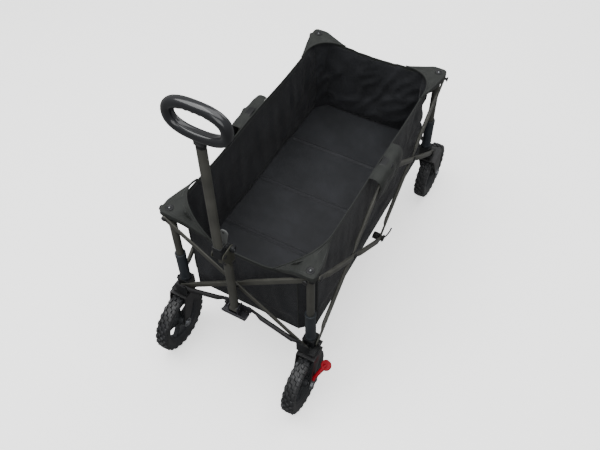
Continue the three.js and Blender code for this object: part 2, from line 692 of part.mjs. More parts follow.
// The latch behind the upper tube: a knurled drum on the elbow's rear pin and a disc tab with a hole.
function latch() {
  const at = (x) => [x, HANDLE_Y, LATCH_PIVOT_Z];
  const drum = rod(at(-LATCH_DRUM_HALF), at(LATCH_DRUM_HALF), LATCH_DRUM_RADIUS, 18);
  const tab = capsule([0, LATCH_PIVOT_Z + 4], [LATCH_DISC_X, LATCH_DISC_Z], LATCH_NECK, LATCH_DISC_RADIUS);
  tab.holes.push(hole(LATCH_DISC_X - 2, LATCH_DISC_Z + 1, LATCH_HOLE));
  const y = HANDLE_Y - LATCH_THICKNESS / 2;
  const plate = plateXZ(tab, y, y + LATCH_THICKNESS, 10);
  const bore = rod(at(-THROUGH), at(THROUGH), PIN_RADIUS + PIVOT_GAP);
  return cut(join(drum, plate), bore);
}

function handle() {
  add(wagon, "link_right", link(), FINISH.tube);
  const left = new THREE.Group();
  left.scale.x = -1;
  add(left, "link_left", link(), FINISH.tube);
  wagon.add(left);
  add(wagon, "handle_foot", handleFoot(), FINISH.steel);
  add(wagon, "handle_lower_tube", lowerTube(), FINISH.tube);
  add(wagon, "elbow_bracket", elbowBracket(), FINISH.tube);
  add(wagon, "elbow_collar", elbowCollar(), FINISH.plastic);
  const { width, depth, wall, top } = OUTER_TUBE;
  add(wagon, "handle_outer_tube", ovalTube(width, depth, wall, OUTER_BOTTOM_Z, top), FINISH.tube);
  const start = INNER_TUBE_TOP_Z - INNER_TUBE_LENGTH;
  const slider = ovalTube(INNER_TUBE.width, INNER_TUBE.depth, wall, start, INNER_TUBE_TOP_Z);
  add(wagon, "handle_inner_tube", slider, FINISH.tube);
  add(wagon, "grip", grip(), FINISH.gloss);
  add(wagon, "latch", latch(), FINISH.plastic);
}

// ---- Bag ----

function bagOutline(inset) {
  const [x, y, c] = [BAG_HALF_WIDTH - inset, BAG_HALF_LENGTH - inset, BAG_CHAMFER - 0.6 * inset];
  const corners = [
    [x, y - c],
    [x - c, y],
    [c - x, y],
    [-x, y - c],
    [-x, c - y],
    [c - x, -y],
    [x - c, -y],
    [x, c - y],
  ];
  return new THREE.Shape(corners.map(([a, b]) => new THREE.Vector2(a, b)));
}

// The bag: an open shell with chamfered corners, a dip in its front rim, a flat floor and, below the
// floor, a skirt.
function bag() {
  const shell = upright(bagOutline(0), BAG_SKIRT_Z, BAG_RIM_Z);
  const under = upright(bagOutline(BAG_WALL), BAG_SKIRT_Z - 1, BAG_FLOOR_Z);
  const hollow = upright(bagOutline(BAG_WALL), BAG_FLOOR_Z + BAG_FLOOR, BAG_RIM_Z + 1);
  const radius = (BAG_DIP_WIDTH ** 2 / 4 + BAG_FRONT_DIP ** 2) / (2 * BAG_FRONT_DIP);
  const z = BAG_RIM_Z - BAG_FRONT_DIP + radius;
  const end = -BAG_HALF_LENGTH;
  const dip = rod([0, end - THROUGH, z], [0, end + THROUGH, z], radius, 72);
  return cut(shell, hollow, under, dip);
}

for (const end of ["front", "rear"]) endCross(end);
for (const name of ["left", "right"]) longSide(name);
for (const y of [-1, 1]) for (const x of [-1, 1]) corner(x, y);
add(wagon, "brake_pedal", brake(), FINISH.red);
handle();
add(wagon, "bag", bag(), FINISH.fabric);

// The wagon stands on the floor, with the middle of its outer box over the origin.
const frame = new THREE.Group();
frame.add(wagon);
const outside = new THREE.Box3().setFromObject(frame, true);
const middle = outside.getCenter(new THREE.Vector3());
wagon.position.set(-middle.x, -middle.y, -outside.min.z);

export default frame;
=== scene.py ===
"""The looks of a folding wagon with a fabric bag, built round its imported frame."""

from __future__ import annotations

import logging
import math
from dataclasses import dataclass, field
from enum import Enum
from typing import Callable, Iterable, Sequence

import bmesh
import bpy
import numpy as np
from mathutils import Matrix, Vector, noise

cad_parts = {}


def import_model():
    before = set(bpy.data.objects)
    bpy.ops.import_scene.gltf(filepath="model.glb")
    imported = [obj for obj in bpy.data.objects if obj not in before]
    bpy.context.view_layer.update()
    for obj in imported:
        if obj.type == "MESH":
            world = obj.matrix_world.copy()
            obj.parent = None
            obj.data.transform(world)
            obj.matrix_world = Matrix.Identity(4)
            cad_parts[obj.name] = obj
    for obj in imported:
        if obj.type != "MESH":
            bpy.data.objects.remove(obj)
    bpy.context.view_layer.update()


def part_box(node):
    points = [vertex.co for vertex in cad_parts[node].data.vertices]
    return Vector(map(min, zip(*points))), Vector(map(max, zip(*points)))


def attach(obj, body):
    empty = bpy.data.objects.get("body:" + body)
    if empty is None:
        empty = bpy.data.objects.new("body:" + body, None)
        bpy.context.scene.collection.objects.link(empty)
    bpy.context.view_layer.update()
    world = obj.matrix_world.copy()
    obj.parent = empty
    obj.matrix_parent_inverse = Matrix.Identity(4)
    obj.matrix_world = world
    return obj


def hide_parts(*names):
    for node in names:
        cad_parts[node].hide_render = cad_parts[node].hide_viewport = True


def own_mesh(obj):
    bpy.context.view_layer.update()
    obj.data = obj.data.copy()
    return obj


LOG = logging.getLogger("wagon")
MM = 0.001
Point = tuple[float, float, float]
Outline = list[tuple[float, float]]
ORIGIN: Point = (0, 0, 0)
ACROSS: Point = (1, 0, 0)
ALONG: Point = (0, 1, 0)
UP: Point = (0, 0, 1)


class Plane(Enum):
    """The plane that a flat shape is drawn in; its third axis is the one it is thick along."""

    XZ = (0, 2, 1)
    YZ = (1, 2, 0)
    XY = (0, 1, 2)


class Place(Enum):
    """A named place on the wagon."""

    @property
    def word(self) -> str:
        """The place's name as the names of nodes and pieces use it."""
        return self.name.lower()


class Side(Place):
    """The two long sides, seen from the handle."""

    LEFT = -1
    RIGHT = 1


class End(Place):
    """The two ends: the handle is at the front."""

    FRONT = -1
    REAR = 1


@dataclass
class Layout:
    """Where the frame stands: millimetres about the middle of its four posts, on the ground."""

    origin: Vector = field(default_factory=Vector)
    post_x: float = 0.0
    post_y: float = 0.0

    @classmethod
    def measured(cls) -> "Layout":
        """Reads the posts' places from the frame.

        Returns:
            The layout with its origin in the row frame, in millimetres.
        """
        low = [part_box("post_tube_front_left"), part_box("post_tube_rear_right")]
        a, b = ((lo + hi) / 2 / MM for lo, hi in low)
        middle = (a + b) / 2
        return cls(Vector((middle.x, middle.y, 0)), (b - a).x / 2, (b - a).y / 2)

    def at(self, point: Sequence[float]) -> Vector:
        """A point in millimetres about the posts, as metres in the row frame."""
        return (Vector(point) + self.origin) * MM


# ---- Shapes ----


@dataclass
class Shell:
    """Points in millimetres and the faces between them."""

    points: list[Vector] = field(default_factory=list)
    faces: list[tuple[int, ...]] = field(default_factory=list)

    def __add__(self, other: "Shell") -> "Shell":
        """Both shells in one."""
        first = len(self.points)
        faces = [tuple(i + first for i in f) for f in other.faces]
        return Shell(self.points + other.points, self.faces + faces)


def joined(shells: Iterable[Shell]) -> Shell:
    """Several shells in one."""
    return sum(shells, Shell())


def loft(rings: Sequence[Sequence[Vector]], capped: bool = True, looped: bool = False) -> Shell:
    """Skins a row of rings that all have the same number of points.

    Args:
        rings: The rings, in order.
        capped: Whether the first and last rings are closed by a face.
        looped: Whether the last ring joins the first one.

    Returns:
        The skin.
    """
    count = len(rings[0])
    points = [Vector(p) for ring in rings for p in ring]
    spans = len(rings) if looped else len(rings) - 1
    faces: list[tuple[int, ...]] = []
    for k in range(spans):
        a, b = k * count, (k + 1) % len(rings) * count
        for i in range(count):
            j = (i + 1) % count
            faces.append((a + i, a + j, b + j, b + i))
    if capped and not looped:
        last = (len(rings) - 1) * count
        faces.append(tuple(range(count - 1, -1, -1)))
        faces.append(tuple(range(last, last + count)))
    return Shell(points, faces)


def lathe(profile: Sequence[tuple[float, float]], centre: Sequence[float], axis: Sequence[float],
          steps: int = 32, ring: bool = False) -> Shell:
    """Turns a profile of (radius, height) about an axis.

    Args:
        profile: The radius and height of each step.
        centre: The point at height 0.
        axis: The direction of the height.
        steps: How many sides the turned shape has.
        ring: Whether the profile closes on itself, as for a tube.

    Returns:
        The turned shape, with its ends closed.
    """
    turn = Vector((0, 0, 1)).rotation_difference(Vector(axis)).to_matrix()
    rings = []
    for radius, height in profile:
        angles = (2 * math.pi * i / steps for i in range(steps))
        flat = (Vector((radius * math.cos(a), radius * math.sin(a), height)) for a in angles)
        rings.append([Vector(centre) + turn @ p for p in flat])
    return loft(rings, capped=not ring, looped=ring)


def capsule(a: Sequence[float], b: Sequence[float], radius_a: float, radius_b: float | None = None,
            steps: int = 9) -> Outline:
    """The outline round two circles.

    Args:
        a: The first circle's middle.
        b: The second circle's middle.
        radius_a: The first circle's radius.
        radius_b: The second circle's radius, the same if None.
        steps: How many steps each end's arc has.

    Returns:
        The outline, anticlockwise.
    """
    radius_b = radius_a if radius_b is None else radius_b
    angle = math.atan2(b[1] - a[1], b[0] - a[0])
    lean = math.acos((radius_a - radius_b) / math.dist(a, b))
    out: Outline = []
    for (x, y), r, start, end in (
        (a, radius_a, angle + lean, angle - lean + 2 * math.pi),
        (b, radius_b, angle - lean, angle + lean),
    ):
        for i in range(steps + 1):
            t = start + (end - start) * i / steps
            out.append((x + r * math.cos(t), y + r * math.sin(t)))
    return out


def rounded(width: float, height: float, radius: float, x: float = 0, y: float = 0,
            steps: int = 5) -> Outline:
    """The outline of a rectangle with round corners.

    Args:
        width: Its size along the first axis.
        height: Its size along the second axis.
        radius: The radius of its corners.
        x: Its middle along the first axis.
        y: Its middle along the second axis.
        steps: How many steps each corner has.

    Returns:
        The outline, anticlockwise.
    """
    out: Outline = []
    for k, (sx, sy) in enumerate(((1, 1), (-1, 1), (-1, -1), (1, -1))):
        cx, cy = x + sx * (width / 2 - radius), y + sy * (height / 2 - radius)
        for i in range(steps + 1):
            t = math.pi / 2 * (k + i / steps)
            out.append((cx + radius * math.cos(t), cy + radius * math.sin(t)))
    return out


def inset(outline: Outline, by: float) -> Outline:
    """An anticlockwise outline moved inwards along its normals.

    Args:
        outline: The outline.
        by: How far it moves inwards.

    Returns:
        The smaller outline.
    """
    out: Outline = []
    for i, (x, y) in enumerate(outline):
        (ax, ay), (bx, by_) = outline[i - 1], outline[(i + 1) % len(outline)]
        length = math.hypot(bx - ax, by_ - ay) or 1.0
        out.append((x - by * (by_ - ay) / length, y + by * (bx - ax) / length))
    return out


def slab(outline: Outline, plane: Plane, low: float, high: float, edge: float = 1.0,
         opening: Outline | None = None) -> Shell:
    """A flat piece with rounded edges.

    Args:
        outline: Its outline, anticlockwise.
        plane: The plane the outline is drawn in.
        low: Where it starts along the third axis.
        high: Where it ends along the third axis.
        edge: The radius of its edges.
        opening: A hole's outline with as many points.

    Returns:
        The closed piece.
    """
    u, v, w = plane.value

    def ring(flat: Outline, depth: float) -> list[Vector]:
        """One outline at one depth.

        Args:
            flat: The outline.
            depth: Where it lies along the third axis.

        Returns:
            Its points.
        """
        points = []
        for a, b in flat:
            p = Vector((0, 0, 0))
            p[u], p[v], p[w] = a, b, depth
            points.append(p)
        return points

    turns = (0, 0.25, 0.5, 0.75, 1)
    rings = [ring(inset(outline, edge * (1 - math.sin(t * math.pi / 2))),
                  low + edge * (1 - math.cos(t * math.pi / 2))) for t in turns]
    rings += [ring(inset(outline, edge * (1 - math.cos(t * math.pi / 2))),
                   high - edge * (1 - math.sin(t * math.pi / 2))) for t in turns]
    if opening is None:
        return loft(rings)
    return loft([*rings, ring(opening, high), ring(opening, low)], looped=True)


def swept(path: Sequence[Vector], section: Callable[[float], Outline], up: Vector,
          looped: bool = False) -> Shell:
    """Carries a section along a path.

    Args:
        path: The points the section's middle follows.
        section: The section at each share of the path, across it and up.
        up: The direction that the section's second axis keeps closest to.
        looped: Whether the path closes on itself.

    Returns:
        The swept skin.
    """
    rings = []
    last = len(path) - 1
    for i, p in enumerate(path):
        before = path[i - 1] if looped or i else p
        after = path[(i + 1) % len(path)] if looped or i < last else p
        along = (after - before).normalized()
        across = along.cross(up).normalized()
        high = across.cross(along)
        rings.append([p + across * a + high * b for a, b in section(i / last)])
    return loft(rings, capped=not looped, looped=looped)


def oval(width: float, height: float, power: float = 2.0, steps: int = 16) -> Outline:
    """A superellipse, which a higher power makes squarer.

    Args:
        width: Its full width.
        height: Its full height.
        power: 2 for an ellipse.
        steps: How many points it has.

    Returns:
        The outline, anticlockwise.
    """
    out: Outline = []
    for i in range(steps):
        c, s = math.cos(2 * math.pi * i / steps), math.sin(2 * math.pi * i / steps)
        out.append((math.copysign(abs(c) ** (2 / power), c) * width / 2,
                    math.copysign(abs(s) ** (2 / power), s) * height / 2))
    return out


# ---- Finishes ----


def linear(colour: str) -> tuple[float, float, float, float]:
    """An sRGB hex colour as the linear colour that a shader takes.

    Args:
        colour: Six hex digits after a hash.

    Returns:
        Red, green, blue and an alpha of 1.
    """
    parts = (int(colour[i : i + 2], 16) / 255 for i in (1, 3, 5))
    r, g, b = (c / 12.92 if c <= 0.04045 else ((c + 0.055) / 1.055) ** 2.4 for c in parts)
    return r, g, b, 1.0


def node(tree: bpy.types.NodeTree, kind: str, links: dict | None = None,
         **settings: object) -> bpy.types.Node:
    """Adds a node with its settings and what its inputs are joined to or hold.

    Args:
        tree: The tree it goes in.
        kind: The node's type.
        links: For each input, by name or number, a socket or a value.
        **settings: The node's own properties.

    Returns:
        The new node.
    """
    made = tree.nodes.new(kind)
    for key, value in settings.items():
        setattr(made, key, value)
    for key, value in (links or {}).items():
        if isinstance(value, bpy.types.NodeSocket):
            tree.links.new(value, made.inputs[key])
        else:
            made.inputs[key].default_value = value
    return made


@dataclass(frozen=True)
class Finish:
    """A surface: its colour, the colour its lighter patches turn to, and its gloss."""

    name: str
    colour: str
    lighter: str
    roughness: float
    mottle_mm: float = 60.0

    def material(self) -> bpy.types.Material:
        """The finish's material, made at its first use.

        Returns:
            The material.
        """
        made = bpy.data.materials.get(self.name)
        if made is None:
            made = bpy.data.materials.new(self.name)
            made.use_nodes = True
            tree = made.node_tree
            tree.nodes.clear()
            shader = node(tree, "ShaderNodeBsdfPrincipled", {"Roughness": self.roughness})
            node(tree, "ShaderNodeOutputMaterial", {"Surface": shader.outputs[0]})
            place = node(tree, "ShaderNodeTexCoord")
            self.dress(tree, shader, place)
        return made

    def tint(self, tree: bpy.types.NodeTree, amount: bpy.types.NodeSocket) -> bpy.types.NodeSocket:
        """The finish's two colours, mixed by an amount.

        Args:
            tree: The material's tree.
            amount: 0 for the colour and 1 for the lighter one.

        Returns:
            The colour socket.
        """
        ramp = node(tree, "ShaderNodeValToRGB", {"Fac": amount})
        ramp.color_ramp.elements[0].color = linear(self.colour)
        ramp.color_ramp.elements[1].color = linear(self.lighter)
        ramp.color_ramp.elements[0].position = 0.3
        ramp.color_ramp.elements[1].position = 0.75
        return ramp.outputs[0]

    def noise(self, tree: bpy.types.NodeTree, where: bpy.types.NodeSocket, size_mm: float,
              detail: float = 3.0) -> bpy.types.NodeSocket:
        """Noise whose blots have a real size.

        Args:
            tree: The material's tree.
            where: The coordinates, in metres.
            size_mm: The size of a blot.
            detail: How many finer layers it has.

        Returns:
            The noise's value socket.
        """
        links = {"Vector": where, "Scale": 1 / (size_mm * MM), "Detail": detail}
        return node(tree, "ShaderNodeTexNoise", links).outputs[0]

    def relief(self, tree: bpy.types.NodeTree, shader: bpy.types.Node,
               height: bpy.types.NodeSocket, depth_mm: float,
               under: bpy.types.NodeSocket | None = None) -> bpy.types.NodeSocket:
        """Raises the surface by a height, in millimetres.

        Args:
            tree: The material's tree.
            shader: The surface's shader.
            height: The height, from 0 to 1.
            depth_mm: How much a height of 1 rises.
            under: A relief that this one lies on.

        Returns:
            The bump's normal socket.
        """
        links: dict = {"Height": height, "Distance": depth_mm * MM}
        if under is not None:
            links["Normal"] = under
        bump = node(tree, "ShaderNodeBump", links)
        tree.links.new(bump.outputs[0], shader.inputs["Normal"])
        return bump.outputs[0]

    def worn(self, tree: bpy.types.NodeTree, shader: bpy.types.Node,
             where: bpy.types.NodeSocket, spread: float) -> None:
        """Lets the gloss vary a little from place to place.

        Args:
            tree: The material's tree.
            shader: The surface's shader.
            where: The coordinates, in metres.
            spread: How far the roughness goes either way.
        """
        blots = self.noise(tree, where, self.mottle_mm / 3)
        links = {0: blots, 3: self.roughness - spread, 4: self.roughness + spread}
        gloss = node(tree, "ShaderNodeMapRange", links)
        tree.links.new(gloss.outputs[0], shader.inputs["Roughness"])

    def dress(self, tree: bpy.types.NodeTree, shader: bpy.types.Node, place: bpy.types.Node) -> None:
        """Gives the material its colour and relief.

        Args:
            tree: The material's tree.
            shader: The surface's shader.
            place: The texture coordinates.
        """
        where = place.outputs["Object"]
        blots = self.noise(tree, where, self.mottle_mm)
        tree.links.new(self.tint(tree, blots), shader.inputs["Base Color"])
        self.worn(tree, shader, where, 0.06)


@dataclass(frozen=True)
class PowderCoat(Finish):
    """Polyester powder baked on steel: a satin skin with the soft orange peel of melted powder."""

    peel_mm: float = 2.2

    def dress(self, tree: bpy.types.NodeTree, shader: bpy.types.Node, place: bpy.types.Node) -> None:
        """Colour, orange peel, and fine flecks of metallic pigment that brighten the edges of the light.

        Args:
            tree: The material's node tree.
            shader: Its shader.
            place: The coordinates that patterns read.
        """
        super().dress(tree, shader, place)
        where = place.outputs["Object"]
        shader.inputs["Metallic"].default_value = 0.1
        shader.inputs["Specular IOR Level"].default_value = 0.35
        self.relief(tree, shader, self.noise(tree, where, self.peel_mm, 1.0), 0.05)


@dataclass(frozen=True)
class Moulded(Finish):
    """Injection-moulded plastic whose mould was spark-eroded, so that the light breaks up on it."""

    grain_mm: float = 0.9
    grain_depth_mm: float = 0.05
    coat: float = 0.0
    gloss: float = 0.25

    def dress(self, tree: bpy.types.NodeTree, shader: bpy.types.Node, place: bpy.types.Node) -> None:
        """Colour and the grain of the mould, and a polished skin where it has one.

        Args:
            tree: The material's node tree.
            shader: Its shader.
            place: The coordinates that patterns read.
        """
        super().dress(tree, shader, place)
        where = place.outputs["Object"]
        shader.inputs["Specular IOR Level"].default_value = self.gloss
        shader.inputs["Coat Weight"].default_value = self.coat
        shader.inputs["Coat Roughness"].default_value = 0.12
        self.relief(tree, shader, self.noise(tree, where, self.grain_mm, 2.0), self.grain_depth_mm)


@dataclass(frozen=True)
class Rubber(Finish):
    """Moulded tyre rubber: dark and slightly oily, with dust in its pores."""

    pore_mm: float = 1.4

    def dress(self, tree: bpy.types.NodeTree, shader: bpy.types.Node, place: bpy.types.Node) -> None:
        """Colour, dust and pores; the specks of gloss are where the mould was polished.

        Args:
            tree: The material's node tree.
            shader: Its shader.
            place: The coordinates that patterns read.
        """
        super().dress(tree, shader, place)
        where = place.outputs["Object"]
        fine = self.relief(tree, shader, self.noise(tree, where, self.pore_mm, 3.0), 0.12)
        self.relief(tree, shader, self.noise(tree, where, 9.0, 2.0), 0.5, fine)


@dataclass(frozen=True)
class Plated(Finish):
    """Zinc-plated steel: a metal with the faint crystals and streaks of the bath."""

    def dress(self, tree: bpy.types.NodeTree, shader: bpy.types.Node, place: bpy.types.Node) -> None:
        """Colour and fine crystals on bare metal.

        Args:
            tree: The material's node tree.
            shader: Its shader.
            place: The coordinates that patterns read.
        """
        super().dress(tree, shader, place)
        shader.inputs["Metallic"].default_value = 1.0
        where = place.outputs["Object"]
        self.relief(tree, shader, self.noise(tree, where, 1.6, 2.0), 0.03)


@dataclass(frozen=True)
class Woven(Finish):
    """Polyester canvas, 600 denier in a plain weave. Threads lie 0.6 mm apart in the real cloth, and
    are drawn wider so that they show; the cloth's sheen lightens it where it turns away."""

    thread_mm: float = 1.5
    rise_mm: float = 0.25
    crease_mm: float = 45.0
    crease_rise_mm: float = 2.0
    sheen: float = 0.05
    gloss: float = 0.18

    def dress(self, tree: bpy.types.NodeTree, shader: bpy.types.Node, place: bpy.types.Node) -> None:
        """Colour by thread and by handling, the threads' relief, and soft creases.

        Args:
            tree: The material's node tree.
            shader: Its shader.
            place: The coordinates that patterns read.
        """
        self.worn(tree, shader, place.outputs["Object"], 0.07)
        shader.inputs["Sheen Weight"].default_value = self.sheen
        shader.inputs["Sheen Roughness"].default_value = 0.4
        shader.inputs["Specular IOR Level"].default_value = self.gloss
        flat = place.outputs["UV"]
        waves = [
            node(tree, "ShaderNodeTexWave", {"Vector": flat, "Scale": 1 / (self.thread_mm * MM) / 3.14},
                 bands_direction=direction).outputs["Fac"]
            for direction in ("X", "Y")
        ]
        cloth = node(tree, "ShaderNodeMath", {0: waves[0], 1: waves[1]}, operation="MULTIPLY").outputs[0]
        handled = self.noise(tree, flat, self.mottle_mm, 4.0)
        half = node(tree, "ShaderNodeMath", {0: cloth, 1: 0.22}, operation="MULTIPLY").outputs[0]
        both = node(tree, "ShaderNodeMath", {0: half, 1: handled}, operation="ADD").outputs[0]
        tree.links.new(self.tint(tree, both), shader.inputs["Base Color"])
        creases = self.noise(tree, flat, self.crease_mm, 3.0)
        soft = self.relief(tree, shader, creases, self.crease_rise_mm)
        self.relief(tree, shader, cloth, self.rise_mm, soft)


@dataclass(frozen=True)
class Backlit(Finish):
    """Matt white paint on acrylic sheet with lamps below it, which keeps its shadows pale."""

    glow: float = 1.0

    def dress(self, tree: bpy.types.NodeTree, shader: bpy.types.Node, place: bpy.types.Node) -> None:
        """Colour and the light that comes through it."""
        super().dress(tree, shader, place)
        shader.inputs["Emission Color"].default_value = (1, 1, 1, 1)
        shader.inputs["Emission Strength"].default_value = self.glow


STEEL = PowderCoat("powder_coated_steel", "#363632", "#454540", 0.45)
DARK_STEEL = PowderCoat("powder_coated_fork_steel", "#1a1a1b", "#252526", 0.42)
SLEEVE = PowderCoat("powder_coated_sleeve_steel", "#22262a", "#2c3136", 0.5)
FOOT = PowderCoat("powder_coated_foot_steel", "#26262a", "#303034", 0.42)
ELBOW = PowderCoat("powder_coated_elbow_steel", "#33332d", "#404039", 0.42)
NYLON = Moulded("moulded_nylon", "#111213", "#191a1c", 0.45)
RIM_PLASTIC = Moulded("moulded_polypropylene", "#232527", "#2e2f32", 0.5)
POLISHED = Moulded("polished_abs", "#0c0d10", "#14161a", 0.24, grain_depth_mm=0.015, coat=0.6)
TAB = Moulded("moulded_grey_nylon", "#565857", "#636564", 0.5)
RED = Moulded("moulded_red_nylon", "#860014", "#98001a", 0.5, grain_depth_mm=0.03)
TYRE = Rubber("moulded_rubber", "#111213", "#202124", 0.5, mottle_mm=18)
ZINC = Plated("zinc_plated_steel", "#6c6e71", "#8f9194", 0.36, mottle_mm=8)
CANVAS = Woven("woven_polyester_canvas", "#1c1d1f", "#27282b", 0.62, mottle_mm=110)
TAPE = Woven("woven_polyester_tape", "#1e201f", "#292b29", 0.6, mottle_mm=40, thread_mm=1.8,
             crease_rise_mm=0.3)
THREAD = Finish("bonded_polyester_thread", "#222325", "#2e2f31", 0.5)
PAPER = Backlit("painted_studio_floor", "#f4f4f3", "#f8f8f7", 0.85, mottle_mm=900)


ROUND = tuple(2 * math.pi * k / 48 for k in range(48))


# ---- Repeated pieces ----


class Repeat:
    """A Geometry Nodes tree that sets one piece down many times and ends in a plain mesh."""

    name = "repeat"
    inputs: tuple[tuple[str, str], ...] = ()

    def __init__(self) -> None:
        """Builds the tree with its named inputs."""
        self.tree = bpy.data.node_groups.new(self.name, "GeometryNodeTree")
        face = self.tree.interface
        face.new_socket("Path", in_out="INPUT", socket_type="NodeSocketGeometry")
        face.new_socket("Piece", in_out="INPUT", socket_type="NodeSocketObject")
        face.new_socket("Finish", in_out="INPUT", socket_type="NodeSocketMaterial")
        for name, kind in self.inputs:
            face.new_socket(name, in_out="INPUT", socket_type=f"NodeSocket{kind}")
        face.new_socket("Pieces", in_out="OUTPUT", socket_type="NodeSocketGeometry")
        self.given = node(self.tree, "NodeGroupInput").outputs
        info = node(self.tree, "GeometryNodeObjectInfo", {"Object": self.given["Piece"]})
        placed = self.place(info.outputs["Geometry"])
        real = node(self.tree, "GeometryNodeRealizeInstances", {"Geometry": placed})
        links = {"Geometry": real.outputs[0], "Material": self.given["Finish"]}
        painted = node(self.tree, "GeometryNodeSetMaterial", links)
        node(self.tree, "NodeGroupOutput", {"Pieces": painted.outputs[0]})

    def place(self, piece: bpy.types.NodeSocket) -> bpy.types.NodeSocket:
        """Sets the piece down at each place.

        Args:
            piece: The piece's geometry.

        Returns:
            The instances.
        """
        raise NotImplementedError

    def run(self, path: bpy.types.Mesh, piece: Shell, finish: Finish, **values: object) -> bpy.types.Mesh:
        """Makes the repeated piece a plain mesh.

        Args:
            path: The points or line that the pieces follow, in metres.
            piece: One piece, in millimetres about its own middle.
            finish: The pieces' finish.
            **values: The tree's own inputs, with _ for a space.

        Returns:
            The mesh, in the row frame.
        """
        one = bpy.data.objects.new("one", mesh_of(piece, lambda p: Vector(p) * MM))
        carrier = bpy.data.objects.new("carrier", path)
        for made in (one, carrier):
            bpy.context.scene.collection.objects.link(made)
        modifier = carrier.modifiers.new("repeat", "NODES")
        modifier.node_group = self.tree
        sockets = {s.name: s.identifier for s in self.tree.interface.items_tree if s.in_out == "INPUT"}
        modifier[sockets["Piece"]] = one
        modifier[sockets["Finish"]] = finish.material()
        for key, value in values.items():
            modifier[sockets[key.replace("_", " ")]] = value
        graph = bpy.context.evaluated_depsgraph_get()
        mesh = bpy.data.meshes.new_from_object(carrier.evaluated_get(graph))
        for made in (carrier, one):
            bpy.data.objects.remove(made)
        return mesh


class Ring(Repeat):
    """Pieces set round an axis along X: each is drawn with its outward side along +X, its length
    round the ring along +Y and its width, along the axis, in Z."""

    name = "pieces_round_an_axle"
    inputs = (("Count", "Int"), ("Radius", "Float"), ("Centre", "Vector"), ("Start", "Float"))

    def place(self, piece: bpy.types.NodeSocket) -> bpy.types.NodeSocket:
        """Sets the piece down round a circle, turned to face outwards.

        Args:
            piece: The piece's geometry.

        Returns:
            The instances.
        """
        tree, given = self.tree, self.given
        circle = node(tree, "GeometryNodeMeshCircle", {"Vertices": given["Count"], "Radius": given["Radius"]})
        step = node(tree, "ShaderNodeMath", {0: 2 * math.pi, 1: given["Count"]}, operation="DIVIDE")
        number = node(tree, "GeometryNodeInputIndex").outputs[0]
        turn = node(tree, "ShaderNodeMath", {0: number, 1: step.outputs[0]}, operation="MULTIPLY")
        facing = node(tree, "ShaderNodeCombineXYZ", {"Z": turn.outputs[0]})
        links = {"Points": circle.outputs[0], "Instance": piece, "Rotation": facing.outputs[0]}
        ring = node(tree, "GeometryNodeInstanceOnPoints", links)
        start = node(tree, "ShaderNodeCombineXYZ", {"Z": given["Start"]})
        spun = node(tree, "GeometryNodeTransform", {0: ring.outputs[0], "Rotation": start.outputs[0]})
        upright = {0: spun.outputs[0], "Translation": given["Centre"], "Rotation": (0, math.pi / 2, 0)}
        return node(tree, "GeometryNodeTransform", upright).outputs[0]


class Studs(Repeat):
    """Pieces set on points, each turned so that its +Z follows the point's axis attribute."""

    name = "studs_on_points"

    def place(self, piece: bpy.types.NodeSocket) -> bpy.types.NodeSocket:
        """Sets the piece down on every point.

        Args:
            piece: The piece's geometry.

        Returns:
            The instances.
        """
        tree = self.tree
        axis = node(tree, "GeometryNodeInputNamedAttribute", {"Name": "axis"}, data_type="FLOAT_VECTOR")
        facing = node(tree, "FunctionNodeAlignRotationToVector", {"Vector": axis.outputs[0]}, axis="Z")
        links = {"Points": self.given["Path"], "Instance": piece, "Rotation": facing.outputs[0]}
        return node(tree, "GeometryNodeInstanceOnPoints", links).outputs[0]


class Stitches(Repeat):
    """Stitches along a line, each with its length along +X."""

    name = "stitches_along_a_seam"
    inputs = (("Pitch", "Float"),)

    def place(self, piece: bpy.types.NodeSocket) -> bpy.types.NodeSocket:
        """Sets a stitch down at each pitch along the line.

        Args:
            piece: One stitch.

        Returns:
            The instances.
        """
        tree = self.tree
        line = node(tree, "GeometryNodeMeshToCurve", {"Mesh": self.given["Path"]})
        links = {"Curve": line.outputs[0], "Length": self.given["Pitch"]}
        even = node(tree, "GeometryNodeResampleCurve", links, mode="LENGTH")
        along = node(tree, "GeometryNodeInputTangent").outputs[0]
        facing = node(tree, "FunctionNodeAlignRotationToVector", {"Vector": along}, axis="X")
        links = {"Points": even.outputs[0], "Instance": piece, "Rotation": facing.outputs[0]}
        return node(tree, "GeometryNodeInstanceOnPoints", links).outputs[0]


def mesh_of(shell: Shell, place: Callable[[Vector], Vector], angle: float = 38) -> bpy.types.Mesh:
    """A shell as a mesh that is smooth but for its sharp edges.

    Args:
        shell: The shell.
        place: What turns its points into metres.
        angle: Edges that turn by more than this many degrees stay sharp.

    Returns:
        The mesh, with its faces turned outwards.
    """
    mesh = bpy.data.meshes.new("shape")
    mesh.from_pydata([place(p) for p in shell.points], [], shell.faces)
    worked = bmesh.new()
    worked.from_mesh(mesh)
    bmesh.ops.remove_doubles(worked, verts=worked.verts, dist=1e-6)
    bmesh.ops.recalc_face_normals(worked, faces=worked.faces)
    worked.to_mesh(mesh)
    worked.free()
    mesh.shade_smooth()
    mesh.set_sharp_from_angle(angle=math.radians(angle))
    return mesh


